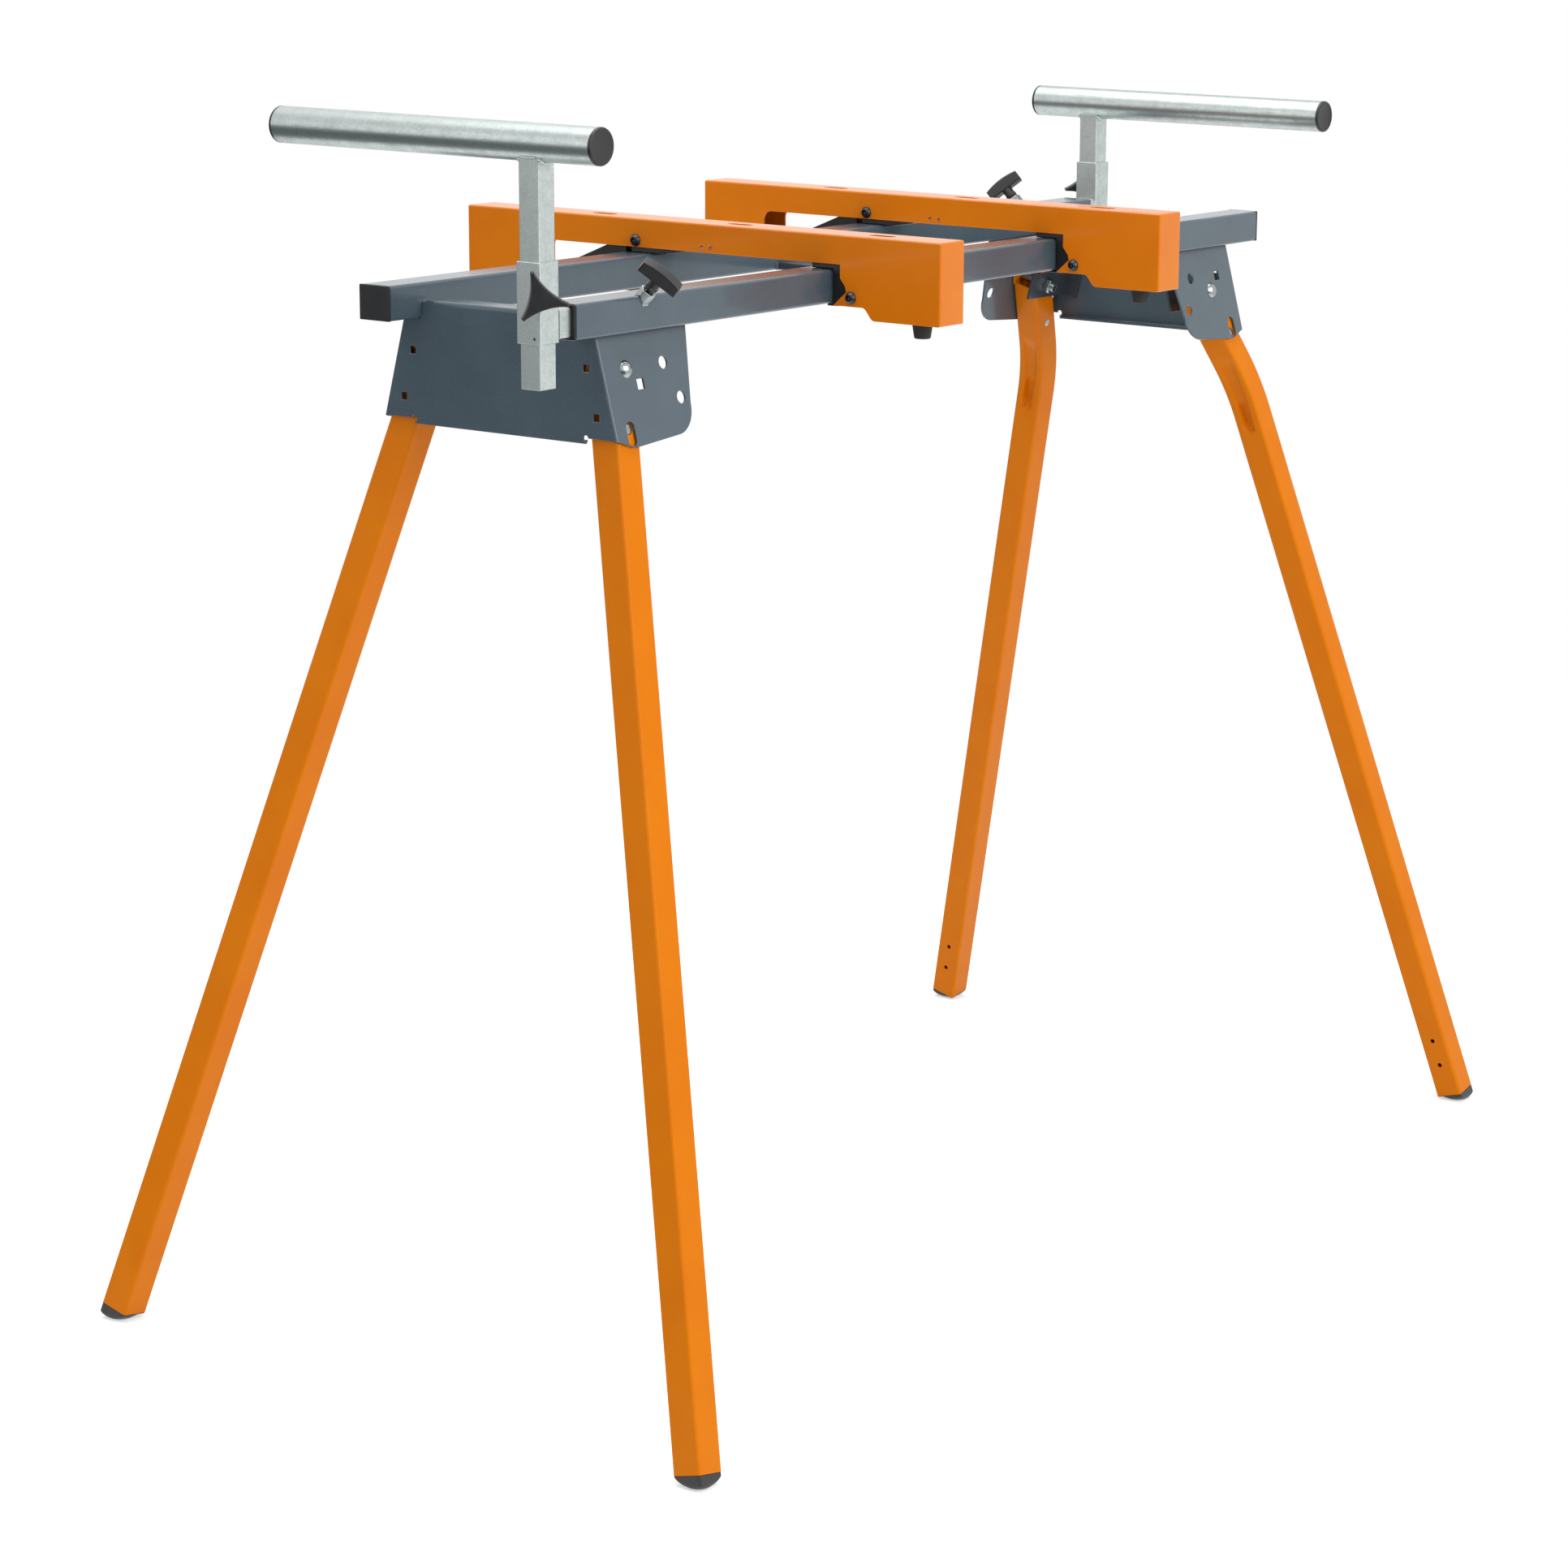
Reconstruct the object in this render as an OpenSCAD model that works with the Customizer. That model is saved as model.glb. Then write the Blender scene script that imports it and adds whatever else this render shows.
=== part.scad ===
// Folding stand for a miter saw: two rails on four folding legs, an arm that slides out of
// each end with a height-adjustable work support, and two bars that clamp across the rails.
// +X runs along the rails, -Y is the front, +Z is up, and the origin is on the floor.
// "near" is the -X end, "far" the +X end, "front" the -Y side and "back" the +Y side.

/* [Rails] */
// Length of each rail
rail_length = 1050; // [900:10:1300]
// Width of the rail tube
rail_w = 32; // [32:1:38]
// Height of the rail tube
rail_h = 29; // [29:1:34]
// Wall of the rail tube
rail_wall = 1.5; // [1.2:0.1:2]
// Distance between the middles of the two rails
rail_spacing = 195; // [185:1:230]
// Height of the top of the rails above the floor
rail_top_z = 904; // [820:2:960]

/* [Extension arms and work supports] */
// Size of the square arm tube
arm_size = 24; // [22:0.5:24]
// Wall of the arm, sleeve and column tubes
arm_wall = 1.5; // [1.2:0.1:1.8]
// Length of the arm that shows between the sleeve and the rail
arm_show = 16; // [8:1:40]
// Distance from the arm's inner end to the closed end of the rail
arm_end_room = 40; // [30:5:350]
// Height of the sleeve
sleeve_h = 64; // [55:1:90]
// Size of the square column tube
column_size = 20; // [16:0.5:20]
// Length of the column below the support tube
column_length = 177; // [150:1:210]
// Length of the column below the near sleeve
near_column_drop = 36; // [20:1:60]
// Length of the column below the far sleeve
far_column_drop = 69; // [40:1:80]
// Diameter of the support tube
support_d = 30; // [26:1:34]
// Length of the support tube
support_length = 335; // [250:5:420]
// Distance from the column's middle to the short end of the support tube
support_short_end = 66; // [40:1:120]

/* [Legs] */
// Size of the square leg tube
leg_size = 28; // [26:0.5:28]
// Wall of the leg tube
leg_wall = 1.5; // [1.2:0.1:2]
// Angle between the leg planes and upright, in degrees
splay = 15; // [12:0.5:16]
// Lean of the near legs away from upright, in degrees
near_lean = 11.4; // [8:0.2:12]
// Lean of the far legs below their bend, in degrees
far_lean = 10.3; // [8:0.2:12]
// Lean of the far legs above their bend, in degrees
far_top_lean = 29; // [26:0.5:30]
// Length of the far legs above their bend
far_top_length = 110; // [100:1:120]
// Radius of the bend of the far legs
bend_radius = 55; // [40:1:70]

/* [End housings] */
// Distance from the end of the rails to the outer face of the end panel
panel_inset = 37; // [25:1:75]
// Thickness of the sheet
sheet = 2; // [1.5:0.1:2.5]
// Height of the end panel below the rails
panel_drop = 88; // [86:1:100]
// Rise of the end panel between the rails
panel_rise = 15; // [8:1:20]
// Length of the cheeks along the rails, at the top
cheek_length = 116; // [110:1:130]

/* [Tool bars] */
// Width of the bar
bar_w = 36; // [32:1:44]
// Distance from the middle to the near bar
near_bar_x = 170; // [120:1:200]
// Distance from the middle to the far bar
far_bar_x = 177; // [120:1:200]
// Reach of the bar beyond the front rail's middle
bar_front_reach = 130; // [110:1:170]
// Reach of the bar beyond the back rail's middle
bar_back_reach = 194; // [170:1:240]
// Height of the bar's top above the rails
bar_rise = 30; // [28:1:40]
// Depth of the ends of the bar
bar_depth = 70.5; // [66:0.5:80]

// Distance from one bolt slot of the bar to the next
slot_pitch = 151; // [100:1:160]

/* [Knobs] */
// Distance from the rail's mouth to the T knob
tee_knob_inset = 86; // [60:1:100]
// Length of the T knob's bar
tee_length = 36; // [30:1:44]
// Reach of the star knob's arms
star_reach = 22; // [18:1:28]

/* [Hidden] */
$fn = 48;
overrun = 1;
seat_gap = 0.3;
pivot_clearance = 0.05;
thread_clearance = 0.02;
NEAR = -1;
FAR = 1;
FRONT = -1;
BACK = 1;

rail_end_x = rail_length / 2;
panel_x = rail_end_x - panel_inset;
arm_inside = rail_length - arm_end_room;
rail_y = rail_spacing / 2;
rail_bottom_z = rail_top_z - rail_h;
rail_mid_z = rail_top_z - rail_h / 2;
rail_side_y = rail_y + rail_w / 2;
rail_inner_y = rail_y - rail_w / 2;
rail_inside_w = rail_w - 2 * rail_wall;
rail_inside_h = rail_h - 2 * rail_wall;

// end caps and mouth liners of the rails
cap_flange = 2.5;
cap_plug = 14;
cap_wall = 2;
liner_lip = 2;
liner_depth = 26;
liner_lip_edge = 0.6;

// middle brace between the rails
brace_w = 25;
brace_h = 7.5;
brace_wall = 1.5;
brace_lift = 0.2;
brace_x = 8.8;

// the leg planes: distances are measured down the cheek from the underside of the rail
cheek_top_y = rail_y + 4;
leg_side_gap = 1;
near_pivot_in = 29.5;
near_pivot_down = 30;
far_pivot_in = 44;
far_pivot_down = 43.5;
near_lock_r = 48;
far_lock_r = 50;
near_fold = 91;
far_fold_below = 18.4;
leg_plane = -(sheet + leg_side_gap + leg_size / 2);
leg_inner_face = -(sheet + leg_side_gap + leg_size);

// pivot bolts, nuts and the inner bracket plates
bolt_d = 8;
bolt_head_d = 15;
bolt_head_h = 4;
bolt_neck = 8;
neck_hole = bolt_neck + 2 * seat_gap;
nut_af = 13;
nut_h = 6.5;
bolt_tail = 3;
bracket_sheet = 2.5;
bracket_half_h = 13;
bracket_in = 28;
bracket_flange = 15;
nut_r = nut_af / 2 / cos(30);

// lock buttons and their springs
button_d = 10;
button_length = 9;
button_proud = 0.4;
button_flange_d = 14;
button_flange_h = 1.5;
button_slack = 0.08;
lock_hole_d = 10.6;
spring_sheet = 0.8;
spring_w = 12;
spring_length = 46;
spring_fold_in = 8;

// feet of the legs, and the drain holes above them
foot_plug = 22;
foot_thin = 2;
foot_block = 60;
drain_d = 6;
drain_up = 34;
drain_pitch = 27;
dent_depth = 3.5;
dent_r = 24;
dent_w = 13;

// end panel
panel_notch_y = rail_y - 6.5;
panel_notch_rise = 4.6;
panel_lip = 9;
panel_flange = 22;
panel_flange_y = rail_inner_y - 14;
panel_corner = 8;
tooling_hole = 6;
tooling_high = 27;
tooling_low = 66;
tooling_in = 17;
relief_d = 5;
cheek_corner = 24;
cheek_slope = 14;
cheek_bottom_drop = 4;

// tool bar section and profile
bar_sheet = 2;
bar_lift = 5;
bar_step = 10.5;
bar_step_y = 34;
bar_step_run = 12;
bar_back_deep = 72;
bar_inner_corner = 9;
hook_gap_y = 10.3;
hook_bulge = 6.5;
hook_steps = [11.5, 18.5, 23];
slot_w = 9;
slot_length = 26;
slot_middle_y = -4;
web_hole_d = 4.5;
web_hole_pitch = 10;
web_hole_y = rail_y - 72;
web_hole_up = 4.5;

// front hook, saddle pad and latch lever of a bar
hook_side_gap = 1.6;
hook_lip = 1.8;
hook_lip_in = 6;
latch_lip = 5.5;
hook_bolt_out = 22;
hook_bolt_up = 6.5;
hook_top_in = 22;
bar_bolt_d = 6;
bar_bolt_head_d = 11;
bar_bolt_head_h = 4.5;
bar_nut_h = 5;
latch_up = 11;
latch_boss_r = 5.6;
latch_w = 24;
latch_arm = 7;
latch_tail = 150;
latch_tail_drop = 58;
latch_knee_out = 20;
latch_grip_h = 9;
latch_lip_slope = 2;
pad_in = 31;
pad_out = 8;
pad_screw_d = 4;
pad_screw_head_d = 7;
pad_screw_head_h = 1.6;
bar_foot_d = 18;
bar_foot_tip_d = 14;
bar_foot_h = 13;
bar_foot_in = 30;
bar_back_foot_in = 14;

// knobs, their studs and weld nuts
stud_d = 6;
weld_nut_af = 12;
weld_nut_h = 6;
star_nut_z = rail_top_z + 9;
star_gap = 1.5;
star_thick = 10;
star_hub_r = 9;
star_tip_w = 5;
star_waist_share = 0.42;
star_turn = 18;
tee_stem_d = 11;
tee_stem_h = 9.5;
tee_bar_h = 12;
tee_bar_w = 11.5;
tee_turn = -60;
tee_crown = 2.5;
tip_gap = 0.3;
thread_room = 0.4;

// derived places of the arm sets
sleeve_x = rail_end_x + arm_show + arm_size / 2;
sleeve_bottom_z = rail_bottom_z;
sleeve_top_z = sleeve_bottom_z + sleeve_h;
column_bottom_z = [sleeve_bottom_z - near_column_drop, sleeve_bottom_z - far_column_drop];
support_z = [for (z = column_bottom_z) z + column_length + support_d / 2];
support_cap = 2.5;
support_plug = 12;
slide_block = 24;

// shared shapes

// A box centred on X and Y that stands on z = 0
module block(x, y, z) {
    translate([-x / 2, -y / 2, 0]) cube([x, y, z]);
}

// A square tube along +X with its middle on the axis
module tube_x(w, h, wall, length) {
    difference() {
        translate([0, -w / 2, -h / 2]) cube([length, w, h]);
        translate([-overrun, -w / 2 + wall, -h / 2 + wall])
            cube([length + 2 * overrun, w - 2 * wall, h - 2 * wall]);
    }
}

// A square tube along +Z that stands on z = 0
module tube_z(w, wall, length) {
    difference() {
        block(w, w, length);
        translate([0, 0, -overrun]) block(w - 2 * wall, w - 2 * wall, length + 2 * overrun);
    }
}

// A cylinder along +Y from y = 0
module rod_y(d, length) {
    rotate([-90, 0, 0]) cylinder(d = d, h = length);
}

// Puts the near set of a piece in place, or turns it half a turn for the far end
module at_end(end) {
    rotate([0, 0, end == FAR ? 180 : 0]) children();
}

// The plane of one leg: x runs out from the middle, y is the cheek's outward normal,
// z runs up the cheek, and the origin is at the underside of the rail
module cheek_frame(end, side) {
    mirror([end == NEAR ? 1 : 0, 0, 0]) mirror([0, side == FRONT ? 1 : 0, 0])
        translate([0, cheek_top_y, rail_bottom_z]) rotate([splay, 0, 0]) children();
}

function pivot_x(end) = panel_x - (end == NEAR ? near_pivot_in : far_pivot_in);
function pivot_z(end) = -(end == NEAR ? near_pivot_down : far_pivot_down);
function lock_r(end) = end == NEAR ? near_lock_r : far_lock_r;
function top_lean(end) = end == NEAR ? near_lean : far_top_lean;
function foot_lean(end) = end == NEAR ? near_lean : far_lean;
// height of a point of the leg's middle plane, z up the cheek from the rail
function plane_z(z) = rail_bottom_z + z * cos(splay) + leg_plane * sin(splay);
// how far the lowest corner of a square-cut leg lies below the middle of the cut
function cut_drop(end) = leg_size / 2 * (sin(foot_lean(end)) * cos(splay) + sin(splay));
function bend_z(end) = pivot_z(end) - (end == NEAR ? 0 : far_top_length * cos(far_top_lean));
// length from the pivot of a near leg, or the bend of a far leg, to its cut end
function shank_length(end) = (plane_z(bend_z(end)) - cut_drop(end) - foot_thin)
    / (cos(foot_lean(end)) * cos(splay));

// Moves from the pivot of a leg to a place on it, with -z running down the leg
module at_pivot(end) {
    translate([pivot_x(end), 0, pivot_z(end)]) rotate([0, -top_lean(end), 0]) children();
}

// Moves to the cut end of a leg, with -z running down the leg
module at_leg_end(end) {
    top = end == NEAR ? 0 : far_top_length;
    at_pivot(end) translate([0, leg_plane, -top])
        rotate([0, top_lean(end) - foot_lean(end), 0]) translate([0, 0, -shank_length(end)])
            children();
}

// rails and what is fixed to them

module rail(side) {
    lock_x = NEAR * (rail_end_x - tee_knob_inset);
    at_end(side == FRONT ? NEAR : FAR) difference() {
        translate([-rail_end_x, -rail_y, rail_mid_z])
            tube_x(rail_w, rail_h, rail_wall, rail_length);
        rail_edge(lock_x) translate([0, 0, -weld_nut_h])
            cylinder(d = stud_d + thread_room, h = 2 * weld_nut_h);
    }
}

module rail_front() {
    color("#67737c") rail(FRONT);
}

module rail_back() {
    color("#67737c") rail(BACK);
}

// The top outer edge of the front rail, with +z along the T knob's axis
module rail_edge(x) {
    translate([x, -rail_side_y, rail_top_z]) rotate([45, 0, 0]) children();
}

module rail_end_caps() {
    color("#25262a") for (end = [NEAR, FAR]) at_end(end)
        translate([rail_end_x, -rail_y, rail_mid_z]) difference() {
            union() {
                translate([0, -rail_w / 2, -rail_h / 2]) cube([cap_flange, rail_w, rail_h]);
                translate([-cap_plug, -rail_inside_w / 2, -rail_inside_h / 2])
                    cube([cap_plug + cap_flange / 2, rail_inside_w, rail_inside_h]);
            }
            translate([-cap_plug - overrun, -rail_inside_w / 2 + cap_wall,
                -rail_inside_h / 2 + cap_wall])
                cube([cap_plug + overrun, rail_inside_w - 2 * cap_wall,
                    rail_inside_h - 2 * cap_wall]);
        }
}

module rail_mouth_liners() {
    opening = arm_size + 2 * seat_gap;
    lip_w = rail_w - 2 * liner_lip_edge;
    lip_h = rail_h - 2 * liner_lip_edge;
    color("#25262a") for (end = [NEAR, FAR]) at_end(end)
        translate([-rail_end_x, -rail_y, rail_mid_z]) difference() {
            union() {
                translate([-liner_lip, -lip_w / 2, -lip_h / 2]) cube([liner_lip, lip_w, lip_h]);
                translate([-liner_lip / 2, -rail_inside_w / 2, -rail_inside_h / 2])
                    cube([liner_depth, rail_inside_w, rail_inside_h]);
            }
            translate([-liner_lip - overrun, -opening / 2, -opening / 2])
                cube([liner_depth + liner_lip + 2 * overrun, opening, opening]);
        }
}

module centre_brace() {
    color("#4a525a") translate([brace_x, -rail_inner_y, rail_bottom_z + brace_lift + brace_h / 2])
        rotate([0, 0, 90]) tube_x(brace_w, brace_h, brace_wall, 2 * rail_inner_y);
}

// A hexagonal nut with a V seat, welded on the edge of a square tube, axis along +z
module edge_nut() {
    r = weld_nut_af / 2 / cos(30);
    difference() {
        translate([0, 0, -r]) cylinder(r = r, h = weld_nut_h + r, $fn = 6);
        translate([0, 0, -weld_nut_h - r])
            cylinder(d = stud_d + 2 * thread_clearance, h = 3 * weld_nut_h + r);
        rotate([-45, 0, 0]) translate([-weld_nut_af, 0, -2 * weld_nut_af])
            cube([2 * weld_nut_af, 2 * weld_nut_af, 2 * weld_nut_af]);
    }
}

module arm_lock_nuts() {
    color("#c3c6c4") for (end = [NEAR, FAR]) at_end(end)
        rail_edge(-rail_end_x + tee_knob_inset) edge_nut();
}

// end housings

// Outline of the cheek, x out from the middle and y up the cheek
module cheek_outline() {
    inner_x = panel_x - cheek_length;
    foot_x = inner_x + cheek_slope;
    bottom = -panel_drop / cos(splay) - cheek_bottom_drop / 2;
    corner = [foot_x + cheek_corner, bottom + cheek_corner + cheek_bottom_drop];
    steps = 8;
    polygon(concat(
        [[panel_x, 0], [inner_x, 0]],
        [for (i = [0 : steps]) corner + cheek_corner * [-cos(90 * i / steps), -sin(90 * i / steps)]],
        [
            [panel_x - near_pivot_in + cheek_bottom_drop, bottom],
            [panel_x - near_pivot_in / 2, bottom + cheek_bottom_drop / 2],
            [panel_x, -(panel_drop - panel_notch_rise) / cos(splay)]
        ]
    ));
}

// Holes of the cheek: both pivot places, both fold locks and the open-lock slot
module cheek_holes() {
    for (end = [NEAR, FAR])
        translate([pivot_x(end) - neck_hole / 2, pivot_z(end) - neck_hole / 2])
            square(neck_hole);
    translate(fold_lock(NEAR)) circle(d = lock_hole_d);
    translate(fold_lock(FAR)) circle(d = lock_hole_d);
    open_near = open_lock(NEAR);
    open_far = open_lock(FAR);
    run = open_far - open_near;
    translate(open_near) circle(d = lock_hole_d);
    translate(open_far) circle(d = lock_hole_d);
    translate(open_near) rotate(atan2(run[1], run[0])) translate([0, -lock_hole_d / 2])
        square([norm(run), lock_hole_d]);
}

function open_lock(end) = [pivot_x(end), pivot_z(end)]
    + lock_r(end) * [sin(top_lean(end)), -cos(top_lean(end))];
function fold_angle(end) = end == NEAR ? near_fold : 90 - far_fold_below;
function fold_lock(end) = [pivot_x(end), pivot_z(end)]
    + lock_r(end) * [-sin(fold_angle(end)), -cos(fold_angle(end))];

// Outline of the end panel, y across the stand and z up
module panel_outline() {
    low = rail_bottom_z - panel_drop;
    notch = low + panel_notch_rise;
    top = rail_bottom_z + panel_rise;
    side_low = cheek_top_y + (panel_drop - panel_notch_rise) * tan(splay);
    half = [
        [0, low], [panel_notch_y, low], [panel_notch_y, notch], [side_low, notch],
        [cheek_top_y, rail_bottom_z], [rail_inner_y, rail_bottom_z],
        [rail_inner_y, top - panel_corner], [rail_inner_y - panel_corner, top], [0, top]
    ];
    for (side = [FRONT, BACK]) mirror([side == FRONT ? 1 : 0, 0]) difference() {
        polygon(half);
        translate([panel_notch_y, notch]) circle(d = relief_d);
        for (down = [tooling_high, tooling_low])
            translate([cheek_top_y + down * tan(splay) - tooling_in, rail_bottom_z - down])
                square(tooling_hole, center = true);
    }
}

module housing(end) {
    mirror([end == NEAR ? 1 : 0, 0, 0]) {
        translate([panel_x - sheet, 0, 0]) rotate([90, 0, 90]) linear_extrude(sheet)
            panel_outline();
        translate([panel_x - panel_flange, -panel_flange_y,
            rail_bottom_z + panel_rise - sheet])
            cube([panel_flange, 2 * panel_flange_y, sheet]);
        translate([panel_x - panel_lip, -panel_notch_y + relief_d, rail_bottom_z - panel_drop])
            cube([panel_lip, 2 * (panel_notch_y - relief_d), sheet]);
    }
    for (side = [FRONT, BACK]) cheek_frame(end, side)
        rotate([90, 0, 0]) linear_extrude(sheet) difference() {
            cheek_outline();
            cheek_holes();
        }
}

module housing_near() {
    color("#525a62") trimmed_housing(NEAR);
}

module housing_far() {
    color("#525a62") trimmed_housing(FAR);
}

// The cheeks tilt, so their top edges are trimmed level with the underside of the rails
module trimmed_housing(end) {
    difference() {
        housing(end);
        for (side = [FRONT, BACK])
            translate([end * panel_x - end * cheek_length / 2, side * rail_y, rail_bottom_z])
                block(2 * cheek_length, rail_w, rail_h);
    }
}

module each_leg() {
    for (end = [NEAR, FAR]) for (side = [FRONT, BACK]) {
        $end = end;
        cheek_frame(end, side) children();
    }
}

module leg_brackets() {
    y = leg_inner_face - leg_side_gap;
    color("#3f454c") each_leg() difference() {
        union() {
            translate([pivot_x($end) - bracket_in, y - bracket_sheet,
                pivot_z($end) - bracket_half_h])
                cube([panel_x - sheet - pivot_clearance - pivot_x($end) + bracket_in,
                    bracket_sheet, 2 * bracket_half_h]);
            translate([panel_x - sheet - bracket_sheet - pivot_clearance, y - bracket_flange,
                pivot_z($end) - bracket_half_h])
                cube([bracket_sheet, bracket_flange, 2 * bracket_half_h]);
        }
        translate([pivot_x($end), y - bracket_sheet - overrun, pivot_z($end)])
            rod_y(bolt_d + 2 * pivot_clearance, bracket_sheet + 2 * overrun);
    }
}

module pivot_bolts() {
    bracket_y = leg_inner_face - leg_side_gap - bracket_sheet;
    tail_y = bracket_y - nut_h - bolt_tail;
    dome_r = (pow(bolt_head_d / 2, 2) + pow(bolt_head_h, 2)) / (2 * bolt_head_h);
    color("#b9bcba") each_leg() translate([pivot_x($end), 0, pivot_z($end)]) {
        translate([0, tail_y, 0]) rod_y(bolt_d, -tail_y - sheet / 2);
        translate([-bolt_neck / 2, -sheet, -bolt_neck / 2])
            cube([bolt_neck, sheet + overrun / 2, bolt_neck]);
        intersection() {
            translate([0, bolt_head_h - dome_r, 0]) sphere(r = dome_r);
            rod_y(bolt_head_d, bolt_head_h);
        }
    }
}

module pivot_nuts() {
    y = leg_inner_face - leg_side_gap - bracket_sheet;
    color("#b9bcba") each_leg() translate([pivot_x($end), y - nut_h, pivot_z($end)])
        difference() {
            rotate([-90, 0, 0]) cylinder(r = nut_r, h = nut_h, $fn = 6);
            translate([0, -overrun, 0])
                rod_y(bolt_d + 2 * thread_clearance, nut_h + 2 * overrun);
        }
}

// legs

// One side of a bent strip: points at the distance across from the middle line.
// The line starts at the pivot, runs down, turns by the bend and runs on to the end.
function strip_side(end, across) =
    let (
        turn = top_lean(end) - foot_lean(end),
        cut = bend_radius * tan(turn / 2),
        steps = 6,
        centre = [-bend_radius, -far_top_length + cut],
        out = [-sin(turn), -cos(turn)],
        last = [0, -far_top_length] + shank_length(end) * out
    )
    concat(
        [[across, 0]],
        [for (i = [0 : steps]) centre + (bend_radius + across)
            * [cos(turn * i / steps), -sin(turn * i / steps)]],
        [last + across * [cos(turn), -sin(turn)]]
    );

// Outline of a leg tube of a given width, seen along its pivot, with the pivot at the origin
module leg_outline(end, w) {
    steps = 16;
    crown = [for (i = [1 : steps - 1]) w / 2 * [-cos(180 * i / steps), sin(180 * i / steps)]];
    other = strip_side(end, -w / 2);
    if (end == NEAR)
        polygon(concat([
            [w / 2, 0], [w / 2, -shank_length(end)], [-w / 2, -shank_length(end)], [-w / 2, 0]
        ], crown));
    else
        polygon(concat(strip_side(end, w / 2),
            [for (i = [len(other) - 1 : -1 : 0]) other[i]], crown));
}

// A round bar across the inner side of a far leg's bend, for the pressed dent there
module dent_bar(r, w) {
    turn = far_top_lean - far_lean;
    reach = bend_radius - leg_size / 2 + dent_depth - dent_r;
    at_pivot(FAR) translate([
        -bend_radius + reach * cos(turn / 2), leg_plane - w / 2,
        -far_top_length + bend_radius * tan(turn / 2) - reach * sin(turn / 2)
    ]) rod_y(2 * r, w);
}

module leg_tube(end) {
    inside = leg_size - 2 * leg_wall;
    difference() {
        at_pivot(end) translate([0, leg_plane + leg_size / 2, 0]) rotate([90, 0, 0])
            linear_extrude(leg_size) leg_outline(end, leg_size);
        difference() {
            at_pivot(end) translate([0, leg_plane + inside / 2, 0]) rotate([90, 0, 0])
                linear_extrude(inside) {
                    leg_outline(end, inside);
                    translate([-inside / 2, 0]) square([inside, leg_size]);
                }
            if (end == FAR) dent_bar(dent_r + leg_wall, dent_w + 2 * leg_wall);
        }
        if (end == FAR) dent_bar(dent_r, dent_w);
    }
}

module leg(end, side) {
    inside = leg_size - 2 * leg_wall;
    cheek_frame(end, side) difference() {
        leg_tube(end);
        at_leg_end(end) translate([0, 0, -overrun]) block(inside, inside, foot_plug);
        at_pivot(end) translate([0, leg_plane - leg_size, 0])
            rod_y(bolt_d + 2 * pivot_clearance, 2 * leg_size);
        at_pivot(end) translate([0, leg_plane, -lock_r(end)])
            rod_y(button_d + 2 * button_slack, leg_size);
        for (up = [drain_up, drain_up + drain_pitch])
            at_leg_end(end) translate([-leg_size, 0, up]) rotate([0, 90, 0])
                cylinder(d = drain_d, h = leg_size);
    }
}

module leg_near_front() {
    color("#e07c14") leg(NEAR, FRONT);
}

module leg_near_back() {
    color("#e07c14") leg(NEAR, BACK);
}

module leg_far_front() {
    color("#e07c14") leg(FAR, FRONT);
}

module leg_far_back() {
    color("#e07c14") leg(FAR, BACK);
}

// A plug in the leg's end with a sole that lies flat on the floor
module foot(end, side) {
    inside = leg_size - 2 * leg_wall - 2 * seat_gap;
    color("#26272a") intersection() {
        cheek_frame(end, side) at_leg_end(end) {
            translate([0, 0, -foot_block / 2 - pivot_clearance])
                block(leg_size, leg_size, foot_block / 2);
            translate([0, 0, -overrun]) block(inside, inside, foot_plug);
        }
        block(2 * rail_length, 2 * rail_length, rail_bottom_z);
    }
}

module foot_near_front() {
    foot(NEAR, FRONT);
}

module foot_near_back() {
    foot(NEAR, BACK);
}

module foot_far_front() {
    foot(FAR, FRONT);
}

module foot_far_back() {
    foot(FAR, BACK);
}

// The face of the button, held back so that the leg can turn past the cheek
button_face = leg_plane + leg_size / 2 + button_proud;

module lock_button(end, side) {
    color("#c9cccb") cheek_frame(end, side) at_pivot(end)
        translate([0, button_face - button_length, -lock_r(end)]) {
            rod_y(button_d, button_length);
            rod_y(button_flange_d, button_flange_h);
        }
}

module lock_button_near_front() {
    lock_button(NEAR, FRONT);
}

module lock_button_near_back() {
    lock_button(NEAR, BACK);
}

module lock_button_far_front() {
    lock_button(FAR, FRONT);
}

module lock_button_far_back() {
    lock_button(FAR, BACK);
}

// A folded leaf between the button and the opposite wall of the leg.
// Its outline has x across the leg and y down the leg from the button.
module spring_outline() {
    top = button_face - button_length - leg_plane;
    floor_y = -leg_size / 2 + leg_wall;
    t = spring_sheet;
    polygon([
        [top, button_flange_d / 2], [top, -button_flange_d / 2],
        [top - spring_fold_in, -spring_length], [floor_y, -spring_length + button_flange_d],
        [floor_y, button_flange_d / 2], [floor_y + t, button_flange_d / 2],
        [floor_y + t, -spring_length + button_flange_d + t],
        [top - spring_fold_in - t / 2, -spring_length + 3 * t],
        [top - t, -button_flange_d / 2], [top - t, button_flange_d / 2]
    ]);
}

module lock_spring(end, side) {
    color("#9aa0a0") cheek_frame(end, side) at_pivot(end)
        translate([-spring_w / 2, leg_plane, -lock_r(end)]) rotate([90, 0, 90])
            linear_extrude(spring_w) spring_outline();
}

module lock_spring_near_front() {
    lock_spring(NEAR, FRONT);
}

module lock_spring_near_back() {
    lock_spring(NEAR, BACK);
}

module lock_spring_far_front() {
    lock_spring(FAR, FRONT);
}

module lock_spring_far_back() {
    lock_spring(FAR, BACK);
}

// extension arms and work supports, drawn for the near end

module arm(end) {
    color("#bcc2bf") at_end(end) translate([-rail_end_x - arm_show, -rail_y, rail_mid_z])
        tube_x(arm_size, arm_size, arm_wall, arm_show + arm_inside - slide_block / 2);
}

module arm_near() {
    arm(NEAR);
}

module arm_far() {
    arm(FAR);
}

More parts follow.
